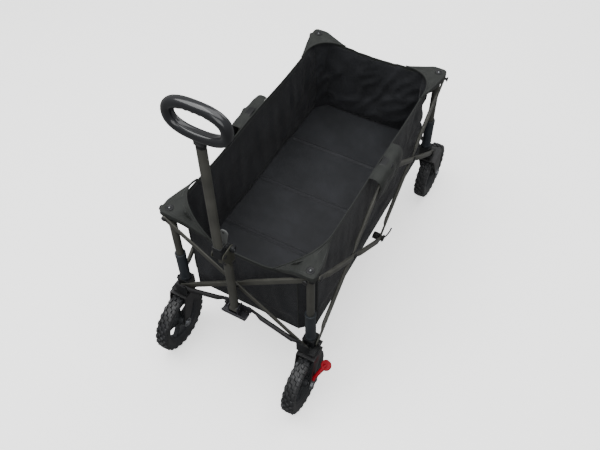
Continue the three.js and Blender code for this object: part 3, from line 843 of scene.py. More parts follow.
@dataclass
class Workshop:
    """Makes finished pieces from shells, meshes and the frame's own nodes."""

    layout: Layout
    rings: Ring
    studs: Studs
    seams: Stitches

    def finished(self, name: str, mesh: bpy.types.Mesh, finish: Finish, body: str,
                 replaces: Sequence[str] = ()) -> bpy.types.Object:
        """A mesh as a piece that rides on a body.

        Args:
            name: The piece's name.
            mesh: Its mesh, in the row frame.
            finish: Its finish.
            body: The body it moves with.
            replaces: The nodes it stands for.

        Returns:
            The piece.
        """
        mesh.name = name
        mesh.materials.clear()
        mesh.materials.append(finish.material())
        piece = bpy.data.objects.new(name, mesh)
        bpy.context.scene.collection.objects.link(piece)
        if body:
            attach(piece, body)
        if replaces:
            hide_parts(*replaces)
        LOG.info("%s: %d faces on %s", name, len(mesh.polygons), body)
        return piece

    def piece(self, name: str, shell: Shell, finish: Finish, body: str, slot: str,
              replaces: Sequence[str] = (), angle: float = 38) -> bpy.types.Object:
        """A shell as a piece; the arguments are those of finished, and the sharp angle in degrees."""
        mesh = mesh_of(shell, self.layout.at, angle)
        return self.finished(name, mesh, finish, body, replaces)

    def refined(self, node_name: str, finish: Finish, body: str, edge_mm: float = 0.9,
                keep: Callable[[Vector], bool] | None = None, name: str = "") -> bpy.types.Object:
        """A frame node's own shape with its edges eased, standing for that node.

        Args:
            node_name: The node.
            finish: Its finish.
            body: Its body.
            edge_mm: How far its edges are eased.
            keep: Which face middles, in metres, belong to this piece; all if None.
            name: The piece's name, if not the node's with _eased.

        Returns:
            The piece.
        """
        worked = bmesh.new()
        worked.from_mesh(frame_node(node_name).data)
        bmesh.ops.remove_doubles(worked, verts=worked.verts, dist=2e-5)
        if keep is not None:
            outside = [f for f in worked.faces if not keep(f.calc_center_median())]
            bmesh.ops.delete(worked, geom=outside, context="FACES")
        bmesh.ops.dissolve_limit(worked, angle_limit=math.radians(1), verts=worked.verts,
                                 edges=worked.edges)
        mesh = bpy.data.meshes.new(node_name)
        worked.to_mesh(mesh)
        worked.free()
        mesh.shade_smooth()
        mesh.set_sharp_from_angle(angle=math.radians(35))
        made = self.finished(name or f"{node_name}_eased", mesh, finish, body, [node_name])
        bevel = made.modifiers.new("eased", "BEVEL")
        bevel.width = edge_mm * MM
        bevel.segments = 2
        bevel.limit_method = "ANGLE"
        bevel.angle_limit = math.radians(42)
        bevel.harden_normals = True
        return made

    def stud(self, name: str, spots: Sequence[tuple[Point, Point]], piece: Shell, finish: Finish,
             body: str) -> bpy.types.Object:
        """The same small piece set on several points.

        Args:
            name: The piece's name.
            spots: Each point, in millimetres about the posts, and the way its +Z looks.
            piece: The small piece, about its foot.
            finish: Its finish.
            body: Its body.

        Returns:
            All of them as one piece.
        """
        path = bpy.data.meshes.new("spots")
        path.from_pydata([self.layout.at(p) for p, _ in spots], [], [])
        axis = path.attributes.new("axis", "FLOAT_VECTOR", "POINT")
        axis.data.foreach_set("vector", [x for _, a in spots for x in a])
        return self.finished(name, self.studs.run(path, piece, finish), finish, body)

    def round_axle(self, name: str, centre: Point, radius: float, count: int, piece: Shell,
                   finish: Finish, body: str, replaces: Sequence[str] = (),
                   start: float = 0.0) -> bpy.types.Object:
        """The same piece set round an axis along X.

        Args:
            name: The piece's name.
            centre: The ring's middle, in millimetres about the posts.
            radius: How far out the pieces sit, in millimetres.
            count: How many there are.
            piece: One of them.
            finish: Their finish.
            body: Their body.
            replaces: The nodes they stand for.
            start: The angle of the first one, in radians.

        Returns:
            All of them as one piece.
        """
        mesh = self.rings.run(bpy.data.meshes.new("none"), piece, finish, Count=count, Start=start,
                              Radius=radius * MM, Centre=self.layout.at(centre))
        return self.finished(name, mesh, finish, body, replaces)

    def seam(self, name: str, lines: Sequence[Sequence[Vector]], pitch: float, body: str) -> bpy.types.Object:
        """Stitches along lines.

        Args:
            name: The piece's name.
            lines: The lines, in millimetres about the posts.
            pitch: How far apart the stitches are, in millimetres.
            body: Their body.

        Returns:
            The stitches as one piece.
        """
        points = [self.layout.at(p) for line in lines for p in line]
        edges, first = [], 0
        for line in lines:
            edges += [(first + i, first + i + 1) for i in range(len(line) - 1)]
            first += len(line)
        path = bpy.data.meshes.new("seam")
        path.from_pydata(points, edges, [])
        length = pitch * 0.72
        stitch = swept([Vector((-length / 2, 0, 0)), Vector((0, 0, 0.15)), Vector((length / 2, 0, 0))],
                       lambda t: oval(0.9, 0.8, steps=5), Vector((0, 0, 1)))
        mesh = self.seams.run(path, stitch, THREAD, Pitch=pitch * MM)
        return self.finished(name, mesh, THREAD, body)


def frame_node(name: str) -> bpy.types.Object:
    """The frame's node of that name."""
    return bpy.data.objects[name]


# ---- Frame ----


@dataclass
class Scissors:
    """The crossed bars, their rivets and the hubs of the long sides."""

    low: float = 236
    high: float = 562
    width: float = 16
    thickness: float = 4.5
    layers: tuple[float, float] = (18.5, 24.0)
    head_face: float = 29.1
    end_flat: float = 36
    middle_flat: float = 20
    swell: float = 6.0
    head: float = 7.9

    def bar(self, plane: Plane, a: Sequence[float], b: Sequence[float], near: float,
            swell: float = 0.0) -> Shell:
        """A tube between two pivots, pressed flat at its ends and where it is riveted to another.

        Args:
            plane: The plane it turns in.
            a: Its first pivot.
            b: Its second pivot.
            near: Where its flat starts, away from the posts' plane.
            swell: How much thicker the tube is between its flats: above 0 outwards, below 0 inwards.

        Returns:
            The bar.
        """
        low, high = sorted((near, near + math.copysign(self.thickness, near)))
        body = slab(capsule(a, b, self.width / 2), plane, low, high, edge=2.0)
        if not swell:
            return body
        start, end = Vector(a), Vector(b)
        length, way = (end - start).length, math.copysign(1, near)
        flat, full = self.thickness - 0.4, self.thickness + abs(swell)
        up = Vector([float(k == plane.value[2]) for k in range(3)])
        for first, last in ((self.end_flat, length / 2 - self.middle_flat),
                            (length / 2 + self.middle_flat, length - self.end_flat)):
            path = []
            deep = (flat, full - 1.6, full, full, full - 1.6, flat)
            for run, d in zip((first, first + 12, first + 24, last - 24, last - 12, last), deep):
                u, v = start.lerp(end, run / length)
                at = [0.0, 0.0, 0.0]
                at[plane.value[0]], at[plane.value[1]] = u, v
                at[plane.value[2]] = near + way * (d / 2 if swell > 0 else self.thickness - d / 2)
                path.append(Vector(at))
            body = body + swept(path, lambda t: oval(self.width - 0.3, deep[round(t * 5)], 2.8, 24), up)
        return body

    def dome(self) -> Shell:
        """The domed head of a rivet, from its foot up."""
        r = self.head
        turns = [(r * math.cos(a), 1.2 + 2.4 * math.sin(a)) for a in np.linspace(0, 1.35, 6)]
        return lathe([(r - 0.3, 0), (r, 0.4), *turns, (0.4, 3.65)], ORIGIN, UP, 20)

    def end(self, shop: Workshop, end: End) -> None:
        """The cross at one end.

        Args:
            shop: Where pieces are made.
            end: Which end.
        """
        x, y, s = shop.layout.post_x, shop.layout.post_y, end.value
        for name, sign, layer in ((f"{end.word}_bar_from_left", -1, 0), (f"{end.word}_bar_from_right", 1, 1)):
            near = s * (y + self.layers[layer])
            swell = 0 if layer else -self.swell
            bar = self.bar(Plane.XZ, (sign * x, self.low), (-sign * x, self.high), near, swell)
            shop.piece(f"{name}_tube", bar, STEEL, name, "frame_tube", [name])
        middle = (0.0, s * (y + self.head_face), (self.low + self.high) / 2)
        self.pinned(shop, f"{end.word}_cross_rivet", [(middle, (0, s, 0))], f"{end.word}_bar_from_left")

    def pinned(self, shop: Workshop, name: str, spots: list[tuple[Point, Point]], body: str) -> None:
        """Rivets with domed heads; a spot is a point and the way out of the metal there."""
        shop.stud(name, spots, self.dome(), DARK_STEEL, body)

    def side(self, shop: Workshop, side: Side) -> None:
        """The two crosses of a long side, their rivets and hubs.

        Args:
            shop: Where pieces are made.
            side: Which side.
        """
        x, y, s = shop.layout.post_x, shop.layout.post_y, side.value
        runs = {
            "side_bar_front_low": ((-y, self.low), (0, self.high), 0),
            "side_bar_front_high": ((-y, self.high), (0, self.low), 1),
            "side_bar_rear_high": ((0, self.low), (y, self.high), 0),
            "side_bar_rear_low": ((0, self.high), (y, self.low), 1),
        }
        for run, (a, b, layer) in runs.items():
            name = f"{run}_{side.word}"
            bar = self.bar(Plane.YZ, a, b, s * (x + self.layers[layer]), self.swell if layer else -self.swell)
            shop.piece(f"{name}_tube", bar, STEEL, name, "frame_tube", [name])
        face = s * (x + self.head_face)
        middle = (self.low + self.high) / 2
        for run, at in (("side_bar_front_low", -y / 2), ("side_bar_rear_high", y / 2)):
            name = f"{run}_{side.word}"
            self.pinned(shop, f"{name}_rivet", [((face, at, middle), (s, 0, 0))], name)
        for hub, z, wide, tall in (("top_hub", self.high, 44, 28), ("bottom_hub", self.low, 24, 19)):
            name = f"{hub}_{side.word}"
            low, high = sorted((s * (x - 2), s * (x + self.layers[0] - 1)))
            block = slab(rounded(wide, tall, 9, 0, z), Plane.YZ, low, high, 1.6)
            low, high = sorted((s * (x + 12), s * (x + self.head_face + 0.3)))
            pin = slab([(4 * math.cos(t), z + 4 * math.sin(t)) for t in ROUND], Plane.YZ, low, high, 0.4)
            shop.piece(f"{name}_block", block + pin, NYLON, name, "black_plastic", [name])
            profile = [(11.6, 0), (12, 0.6), (11.8, 2.6), (9.5, 4.2), (5, 5), (1, 5.2)]
            cap = lathe(profile, ORIGIN, UP, 28)
            shop.stud(f"{name}_cap", [((face, 0, z), (s, 0, 0))], cap, NYLON, name)
        self.tail(shop, side)

    def tail(self, shop: Workshop, side: Side) -> None:
        """The short webbing tail that stands out from a bottom hub.

        Args:
            shop: Where pieces are made.
            side: Which side.
        """
        s, x = side.value, shop.layout.post_x + self.head_face + 3
        path = [Vector((s * (x + dx), dy, self.low + dz))
                for dx, dy, dz in ((0, 4, 0), (4, 9, 4), (8, 15, 11), (11, 22, 19), (12.5, 29, 28))]
        tail = swept(path, lambda t: oval(9, 1.4, 5, 12), Vector((s, 0, 0.4)))
        shop.piece(f"hub_webbing_tail_{side.word}", tail, TAPE, f"bottom_hub_{side.word}", "bag_fabric")


@dataclass
class Corner:
    """A post with its sleeve, cap and bracket."""

    end: End
    side: Side
    tube: float = 11
    sleeve: float = 16
    sleeve_low: float = 258.3
    sleeve_top: float = 378
    tube_low: float = 234
    tube_top: float = 558

    @property
    def word(self) -> str:
        """The corner's name as the frame's nodes use it."""
        return f"{self.end.word}_{self.side.word}"

    def build(self, shop: Workshop, scissors: Scissors) -> None:
        """Makes the corner's pieces.

        Args:
            shop: Where pieces are made.
            scissors: The bars, whose rivets the corner carries.
        """
        x, y = self.side.value * shop.layout.post_x, self.end.value * shop.layout.post_y
        base, top = f"{self.word}_base", f"{self.word}_top"
        foot = (x, y, 0)
        r, inner = self.tube, self.tube - 1.5
        lip = self.tube_low
        tube = lathe([(inner, lip), (r - 0.5, lip), (r, lip + 0.5), (r, self.tube_top - 0.5),
                      (r - 0.5, self.tube_top), (inner, self.tube_top)], foot, (0, 0, 1), 40, ring=True)
        shop.piece(f"post_tube_{self.word}_drawn", tube, STEEL, top, "frame_tube", [f"post_tube_{self.word}"])
        low, high, r = self.sleeve_low, self.sleeve_top, self.sleeve
        inner = r - 4.4
        profile = [(inner, low), (r - 0.6, low), (r, low + 0.6), (r, low + 9), (r - 0.7, low + 9.7),
                   (r - 0.7, high - 13), (r, high - 12.2), (r, high - 1.5), (r - 1.5, high), (inner, high)]
        sleeve = lathe(profile, foot, (0, 0, 1), 44, ring=True)
        shop.piece(f"post_sleeve_{self.word}_moulded", sleeve, SLEEVE, base, "post_sleeve",
                   [f"post_sleeve_{self.word}"])
        shop.refined(f"post_cap_{self.word}", NYLON, top, 2.0)
        shop.refined(f"corner_bracket_{self.word}", NYLON, base, 1.4)
        out_x, out_y = self.side.value, self.end.value
        for level, z, body in (("low", scissors.low, base), ("high", scissors.high, top)):
            face = scissors.head_face
            spots = [((x + out_x * face, y, z), (out_x, 0, 0)), ((x, y + out_y * face, z), (0, out_y, 0))]
            scissors.pinned(shop, f"corner_rivets_{self.word}_{level}", spots, body)


# ---- Wheels ----


@dataclass
class Wheel:
    """A block-tread tyre on a spoked plastic rim."""

    word: str
    centre: Point
    body: str
    radius: float = 101
    width: float = 40
    rim: float = 70
    blocks: int = 25
    spokes: int = 5

    def carcass(self) -> Shell:
        """The tyre under its tread, with a rib round each sidewall.

        Returns:
            The closed ring.
        """
        w, r, rim = self.width / 2, self.radius, self.rim + 0.35
        half = [(rim, 0), (rim, 13.5), (rim + 1.5, 15), (rim + 3.5, 15.6), (rim + 4.2, 16.8), (rim + 7, 17.6),
                (rim + 9, 18.9), (r - 13, 19.2), (r - 8, 18.4), (r - 5.5, 15.5), (r - 4.6, 8), (r - 4.4, 0)]
        profile = half + [(a, -b) for a, b in half[-2:0:-1]]
        assert max(b for _, b in profile) <= w
        return lathe(profile, self.centre, (1, 0, 0), 72, ring=True)

    def block(self) -> Shell:
        """One pitch of the tread: two middle blocks and a lug over each shoulder.

        Returns:
            The blocks, about a point on the tread.
        """

        def lump(y: float, z: float, long: float, wide: float, lean: float, low: float, high: float) -> Shell:
            """A block that narrows to its top and leans across the tread.

            Args:
                y: Its middle round the tyre.
                z: Its middle across the tyre.
                long: Its length round the tyre.
                wide: Its width across the tyre.
                lean: How far its sides are moved apart round the tyre.
                low: Its foot, inside the carcass.
                high: Its top.

            Returns:
                The block.
            """
            rings = []
            for height, share in ((low, 1.0), (high - 0.9, 0.9), (high, 0.74)):
                rings.append([
                    Vector((height, y + share * (a * long / 2 + lean * b), z + share * b * wide / 2))
                    for a, b in ((-1, -1), (1, -1), (1, 1), (-1, 1))
                ])
            return loft(rings)

        top = 0.0
        parts = [lump(-5.5, 4.4, 11.5, 9.6, 2.4, -5.5, top), lump(6.8, -4.4, 11.5, 9.6, 2.4, -5.5, top)]
        for sign, y in ((1, 6.8), (-1, -5.5)):
            parts.append(lump(y, sign * 13.2, 12.5, 8.6, 0.8 * sign, -7.5, top - 1.0))
            parts.append(lump(y, sign * 17.0, 10.5, 5.6, 0.0, -15.0, -4.6))
        return joined(parts)

    def spoke(self) -> Shell:
        """A spoke that narrows outwards, with a channel down its face.

        Returns:
            The spoke, from the wheel's middle outwards.
        """
        length = self.rim - 5 - 13
        path = [Vector((13 + length * t, 0, 0)) for t in (0, 0.12, 0.35, 0.65, 0.88, 1)]
        widths = (21, 17.5, 13.5, 11, 12.5, 18)

        def section(t: float) -> Outline:
            """The spoke's section, dished on both faces.

            Args:
                t: The share of the spoke's length.

            Returns:
                The section's outline.
            """
            w = widths[min(5, round(t * 5))] / 2
            return [(w, -6), (w, 6), (w - 2.2, 6.6), (w - 3.4, 4.2), (3.4 - w, 4.2), (2.2 - w, 6.6),
                    (-w, 6), (-w, -6), (2.2 - w, -6.6), (3.4 - w, -4.2), (w - 3.4, -4.2), (w - 2.2, -6.6)]

        return swept(path, section, Vector((0, 0, 1)))

    def build(self, shop: Workshop) -> None:
        """Makes the wheel's pieces.

        Args:
            shop: Where pieces are made.
        """
        tyre, rim = f"tyre_{self.word}", f"rim_{self.word}"
        shop.piece(f"{tyre}_carcass", self.carcass(), TYRE, self.body, "tyre_rubber", [tyre])
        shop.round_axle(f"{tyre}_tread", self.centre, self.radius, self.blocks, self.block(), TYRE, self.body)
        r = self.rim
        band = [(r, 14), (r, -14), (r - 1.2, -14), (r - 2.5, -12.4), (r - 7, -11), (r - 8, -9), (r - 8, 9),
                (r - 7, 11), (r - 2.5, 12.4), (r - 1.2, 14)]
        hub = [(7.2, 20), (7.2, -20), (13, -20), (14, -19), (15, -10), (17, -8), (17, 8), (15, 10), (14, 19),
               (13, 20)]
        round_parts = [lathe(part, self.centre, (1, 0, 0), 60, ring=True) for part in (band, hub)]
        shop.piece(f"{rim}_band_and_hub", joined(round_parts), RIM_PLASTIC, self.body, "rim_plastic", [rim])
        shop.round_axle(f"{rim}_spokes", self.centre, 0, self.spokes, self.spoke(), RIM_PLASTIC, self.body,
                        start=math.pi)


@dataclass
class RunningGear:
    """The four wheels, their forks and axles, and the brake's pedal."""

    wheel_radius: float = 101

    def wheels(self) -> list[tuple[str, str, str]]:
        """Lists the four wheels.

        Returns:
            Each wheel's corner, its own body and the body its fork belongs to.
        """
        rows = []
        for side in Side:
            rows.append((f"front_{side.word}", f"front_wheel_{side.word}", f"caster_{side.word}"))
            rows.append((f"rear_{side.word}", f"rear_wheel_{side.word}", f"rear_{side.word}_base"))
        return rows

    def build(self, shop: Workshop) -> None:
        """Makes the wheels, forks and axles.

        Args:
            shop: Where pieces are made.
        """
        for word, wheel, fork in self.wheels():
            low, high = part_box(f"tyre_{word}")
            middle = (low + high) / 2 / MM - shop.layout.origin
            centre = (middle.x, middle.y, self.wheel_radius)
            Wheel(word, centre, wheel).build(shop)
            shop.refined(f"fork_{word}", DARK_STEEL, fork, 1.5)
            shop.refined(f"axle_{word}", ZINC, fork, 0.7)
            washer = lathe([(7, 0), (15, 0), (15, 1), (14.4, 1.5), (7, 1.5)], ORIGIN, UP, 28)
            spots = [((centre[0] + s * 29.1, centre[1], centre[2]), (s, 0, 0)) for s in (-1, 1)]
            shop.stud(f"axle_washers_{word}", spots, washer, ZINC, fork)


@dataclass
class Brake:
    """The red pedal outside the front right fork: a tapering arm and a round pad that faces up."""

    pivot: Point = (248, -468, 128)
    pad: Point = (267, -433, 158)
    pad_radius: float = 16

    def build(self, shop: Workshop) -> None:
        """Makes the pedal.

        Args:
            shop: Where pieces are made.
        """
        a, c = Vector(self.pivot), Vector(self.pad)
        path = [a + Vector((0, -3, -10)), a, a.lerp(c, 0.3) + Vector((1, 0, 3)),
                a.lerp(c, 0.6) + Vector((1, -1, 5)), a.lerp(c, 0.85) + Vector((0, 0, 2)),
                c + Vector((0, 0, -1))]
        widths = ((13, 9), (17, 10), (17, 12), (16, 13), (19, 12), (24, 9))
        arm = swept(path, lambda t: oval(*widths[round(t * 5)], power=3), Vector((1, 0, 0)))
        facing = Vector((0.42, -0.12, 0.9))
        r = self.pad_radius
        pad = lathe([(r - 3, -4.2), (r - 1, -3.4), (r, -1.5), (r, 1.2), (r - 0.8, 2.8), (r - 2.4, 3.4),
                     (r - 4.5, 2.6), (4, 2.2), (0.5, 2.1)], c, facing, 40)
        shop.piece("brake_pedal_moulded", arm + pad, RED, "brake", "brake_red", ["brake_pedal"], angle=50)
        profile = [(5.2, 0), (5.4, 0.6), (4.8, 1.8), (2.6, 2.4), (2.4, 1.2), (0.4, 1.2)]
        screw = lathe(profile, ORIGIN, UP, 18)
        shop.stud("brake_pedal_screw", [((251, -468, 128), ACROSS)], screw, ZINC, "brake")


# ---- Pull handle ----


@dataclass
class PullHandle:
    """The handle: a lower tube on its foot, an elbow, a telescopic upper tube, a latch and a D grip."""

    y: float = -471.3
    upper_y: float = -498.3
    pivot: float = 322
    tube_radius: float = 12
    tube_top: float = 583
    elbow: float = 603
    rivet: float = 548
    grip_low: float = 996
    grip_size: tuple[float, float, float] = (168, 27, 104)
    grip_bar: float = 26
    finger_pitch: float = 16
    finger_depth: float = 2.6

    def build(self, shop: Workshop) -> None:
        """Makes the links, the foot, the tubes and what joins them.

        Args:
            shop: Where pieces are made.
        """
        for side in Side:
            name = f"link_{side.word}"
            shop.piece(f"{name}_tube", self.link(shop, side), DARK_STEEL, name, "frame_tube", [name])
        foot = slab(rounded(86, 28, 5, 0, 312), Plane.XZ, -458.5, -455, 0.9)
        foot += slab(rounded(78, 25, 4, 0, -469.5), Plane.XY, 293, 298, 1.2)
        foot += slab(rounded(78, 13, 4, 0, 299.5), Plane.XZ, -484.5, -480.5, 1.2)
        for s in (-1, 1):
            low, high = sorted((s * 13, s * 16))
            foot += slab(rounded(27.3, 40, 5, -469.6, 318), Plane.YZ, low, high, 0.8)
        foot += lathe([(0.2, -14), (4.2, -14), (4.2, 14), (0.2, 14)], (0, self.y, self.pivot), (1, 0, 0), 24)
        shop.piece("handle_foot_pressed", foot, FOOT, "handle_foot", "zinc_steel", ["handle_foot"])
        head = lathe([(6, 0), (6.2, 0.5), (5.6, 1.9), (3.4, 2.9), (0.5, 3.2)], ORIGIN, UP, 20)
        bolts = [((s * 33, self.y + 8.6 - 1.6, 311), (0, -1, 0)) for s in (-1, 1)]
        shop.stud("handle_foot_bolts", bolts, head, DARK_STEEL, "handle_foot")
        pins = [((s * 15.8, self.y, self.pivot), (s, 0, 0)) for s in (-1, 1)]
        shop.stud("handle_foot_pin_heads", pins, head, DARK_STEEL, "handle_foot")
        self.tubes(shop)
        self.elbow_pieces(shop)
        self.latch(shop)
        grip = self.grip()
        shop.piece("grip_moulded", grip, POLISHED, "handle_inner", "grip_plastic", ["grip"], angle=60)

    def link(self, shop: Workshop, side: Side) -> Shell:
        """A link from the foot to a corner: a round tube pressed flat at both ends.

        Args:
            shop: Where pieces are made.
            side: Its side.

        Returns:
            The link.
        """
        s, back = side.value, -(shop.layout.post_y + 29.5)
        inner, outer = Vector((s * 33, 0, 310)), Vector((s * 197, 0, 252))
        shares = (0.0, 0.14, 0.24, 0.84, 0.92, 1.0)
        deep = (4.5, 4.5, 11.5, 11.5, 4.5, 4.5)
        path = [inner.lerp(outer, t) + Vector((0, back - d / 2, 0)) for t, d in zip(shares, deep)]

        def section(t: float) -> Outline:
            """The link's section, which grows narrower where it is thicker."""
            d = deep[round(t * 5)]
            return oval(d, 18 - d / 4, 3.2, 20)

        ends = [slab(capsule((p.x, p.z), (p.x + s, p.z), 8), Plane.XZ, back - 4.5, back, 1.6)
                for p in (path[0], path[-1])]
        return joined([swept(path, section, Vector(UP)), *ends])

    def oval_tube(self, width: float, depth: float, wall: float, low: float, high: float) -> Shell:
        """An open tube of oval section round the upper tube's middle.

        Args:
            width: Its width.
            depth: Its depth, which is also the width of its round sides.
            wall: Its wall.
            low: Its lower end.
            high: Its upper end.

        Returns:
            The tube.
        """
        def ring(by: float, z: float) -> list[Vector]:
            """The tube's outline at one height, moved inwards."""
            flat = rounded(width - 2 * by, depth - 2 * by, depth / 2 - by - 0.01, 0, self.upper_y, 8)
            return [Vector((a, b, z)) for a, b in flat]

        return loft([ring(0, low), ring(0, high), ring(wall, high), ring(wall, low)], looped=True)

    def tubes(self, shop: Workshop) -> None:
        """The lower tube with its rounded end, and the two telescopic tubes.

        Args:
            shop: Where pieces are made.
        """
        r, inner, low, top = self.tube_radius, self.tube_radius - 1.6, self.pivot + 3, self.tube_top
        tube = lathe([(inner, low), (r, low), (r, top - 0.6), (r - 0.6, top), (inner, top)], (0, self.y, 0),
                     (0, 0, 1), 44, ring=True)
        end = lathe([(r - 1, -r), (r, 1 - r), (r, r - 1), (r - 1, r)], (0, self.y, self.pivot), (1, 0, 0), 36)
        plug = lathe([(inner - 0.2, top - 8), (inner - 0.2, top + 0.6), (r - 1, top + 1.6), (2, top + 2.2)],
                     (0, self.y, 0), (0, 0, 1), 36)
        names = ["handle_lower_tube"]
        shop.piece("handle_lower_tube_drawn", tube + end, STEEL, "handle_lower", "frame_tube", names)
        shop.piece("handle_lower_tube_plug", plug, NYLON, "handle_lower", "black_plastic")
        outer = self.oval_tube(25, 17, 1.3, self.elbow + 10, 985)
        shop.piece("handle_outer_tube_drawn", outer, STEEL, "handle_upper", "frame_tube",
                   ["handle_outer_tube"])
        ferrule = self.oval_tube(25.7, 17.7, 0.36, 977, 985.2)
        shop.piece("handle_outer_tube_ferrule", ferrule, NYLON, "handle_upper", "black_plastic")
        slider = self.oval_tube(21.8, 13.8, 1.3, 666, 1006)
        shop.piece("handle_inner_tube_drawn", slider, STEEL, "handle_inner", "frame_tube",
                   ["handle_inner_tube"])

    def elbow_pieces(self, shop: Workshop) -> None:
        """The elbow's bracket with its rivets, and the collar that turns in it.

        Args:
            shop: Where pieces are made.
        """
        circles = ((self.y, self.rivet, 10.0), (self.upper_y, self.elbow, 12.0),
                   (self.y, self.elbow + 3, 10.0))
        cheek = [max(((a + r * math.cos(t), b + r * math.sin(t)) for a, b, r in circles),
                     key=lambda p: p[0] * math.cos(t) + p[1] * math.sin(t)) for t in ROUND]
        bracket = slab(rounded(34.2, 20, 1.2, 0, self.rivet + 4), Plane.XZ, self.y - 14.8, self.y - 12.3, 0.6)
        for s in (-1, 1):
            low, high = sorted((s * 14.6, s * 17.1))
            bracket += slab(cheek, Plane.YZ, low, high, 0.7)
        for a, b in ((self.upper_y, self.elbow), (self.y, self.elbow + 3)):
            bracket += lathe([(0.2, -15), (4, -15), (4, 15), (0.2, 15)], (0, a, b), (1, 0, 0), 20)
        shop.piece("elbow_bracket_pressed", bracket, ELBOW, "handle_lower", "frame_tube", ["elbow_bracket"])
        head = lathe([(5.6, 0), (5.8, 0.5), (5.2, 1.5), (3.0, 2.3), (0.5, 2.5)], ORIGIN, UP, 20)
        spots = [((s * 17.4, y, z), (s, 0, 0)) for s in (-1, 1)
                 for y, z in ((self.y, self.rivet), (self.upper_y, self.elbow))]
        front = self.y - self.tube_radius - 2.8
        spots += [((0, front, self.rivet - 1 + dz), (0, -1, 0)) for dz in (0, 11)]
        shop.stud("elbow_bracket_rivets", spots, head, DARK_STEEL, "handle_lower")
        rings = []
        for z, w, d in ((594, 24, 17), (595.5, 27, 20), (598, 28, 21), (624, 28, 21), (625, 26.8, 19.8),
                        (627, 26.8, 19.8), (628, 28, 21), (635, 28, 21), (636.6, 27, 20), (637, 26, 19)):
            rings.append([Vector((a, b, z)) for a, b in rounded(w, d, 5, 0, self.upper_y, 6)])
        shop.piece("elbow_collar_moulded", loft(rings), NYLON, "handle_upper", "black_plastic",
                   ["elbow_collar"])

    def latch(self, shop: Workshop) -> None:
        """The latch: a knurled drum and a round tab with a hole.

        Args:
            shop: Where pieces are made.
        """
        at, disc = self.elbow + 3, (3.0, 660.0)
        outline = capsule((0, at + 4), disc, 3.8, 11, steps=14)
        eye = (disc[0] - 2, disc[1] + 1)
        opening = [(eye[0] + 3 * math.cos(t), eye[1] + 3 * math.sin(t))
                   for t in (math.atan2(b - eye[1], a - eye[0]) for a, b in outline)]
        tab = slab(outline, Plane.XZ, self.y - 1.6, self.y + 1.6, 0.9, opening)
        shop.piece("latch_tab", tab, TAB, "latch", "black_plastic", ["latch"])
        profile = [(0.2, -1.9), (2.8, -1.9), (2.8, 1.9), (0.2, 1.9)]
        eyelet = lathe(profile, (eye[0], self.y, eye[1]), ALONG, 20)
        shop.piece("latch_eyelet", eyelet, NYLON, "latch", "black_plastic")
        middle = (0, self.y, at)
        profile = [(4.4, -12), (8, -12), (9, -11), (9.1, 11), (8, 12), (4.4, 12)]
        drum = lathe(profile, middle, ACROSS, 36, ring=True)
        shop.piece("latch_drum", drum, NYLON, "latch", "black_plastic")
        ridge = loft([[Vector((r, a * w, b * 10)) for a, b in ((-1, -1), (1, -1), (1, 1), (-1, 1))]
                      for r, w in ((-1.4, 1.1), (0.4, 0.9), (0.9, 0.4))])
        shop.round_axle("latch_knurl", middle, 9.1, 20, ridge, NYLON, "latch")
        profile = [(0.3, 17.4), (7.6, 17.4), (8.6, 18.4), (8.6, 26), (7.4, 27.2), (4.6, 27.2), (4.2, 25.6),
                   (0.3, 25.6)]
        shop.piece("latch_knob", lathe(profile, middle, ACROSS, 36), NYLON, "latch", "black_plastic")
        screw = lathe([(4.1, 25.6), (4.0, 27.4), (2.8, 28.4), (0.3, 28.7)], middle, ACROSS, 20)
        shop.piece("latch_knob_screw", screw, ZINC, "latch", "zinc_steel")

    def grip(self) -> Shell:
        """The D grip: a ring with finger rests under its top bar and a groove inside its lower one.

        Returns:
            The grip with its neck.
        """
        width, depth, height = self.grip_size
        half = ((width - self.grip_bar) / 2, (height - self.grip_bar) / 2)
        middle = self.grip_low + height / 2
        steps, power = 160, 2.5
        path = []
        for i in range(steps):
            t = 2 * math.pi * i / steps
            c, s = math.cos(t), math.sin(t)
            path.append(Vector((math.copysign(abs(c) ** (2 / power), c) * half[0], self.upper_y,
                                middle + math.copysign(abs(s) ** (2 / power), s) * half[1])))

        def section(t: float) -> Outline:
            """The bar's section: its first axis looks into the grip.

            Args:
                t: The share of the way round the ring.

            Returns:
                The section's outline.
            """
            p = path[round(t * (steps - 1))]
            upper, reach = p.z > middle, 2 * self.finger_pitch
            bite = 0.0
            if upper and abs(p.x) < reach:
                turn = math.pi * (p.x - self.finger_pitch / 2) / self.finger_pitch
                bite = self.finger_depth * abs(math.cos(turn))
            groove = 0.0 if upper else 1.8 * min(1.0, max(0.0, (half[0] - 14 - abs(p.x)) / 12))
            out: Outline = []
            for a, b in oval(self.grip_bar, depth, 2.2, 32):
                share = max(0.0, a) / (self.grip_bar / 2)
                dent = groove * math.exp(-((b / 3.2) ** 2)) if a > 0 else 0.0
                out.append((a - bite * share - dent, b))
            return out

        ring = swept(path, section, Vector((0, 1, 0)), looped=True)
        neck = []
        for z, w, d in ((987.2, 28, 20), (988, 29, 21), (996, 29, 21), (1002, 32, 22), (1008, 38, 22)):
            neck.append([Vector((a, b, z)) for a, b in rounded(w, d, 8, 0, self.upper_y, 6)])
        return ring + loft(neck)


# ---- Bag ----


class Zone(Place):
    """The parts of the bag, each of which moves with one part of the frame."""

    FRONT = 0
    FRONT_RIGHT = 1
    RIGHT = 2
    REAR_RIGHT = 3
    REAR = 4
    REAR_LEFT = 5
    LEFT = 6
    FRONT_LEFT = 7


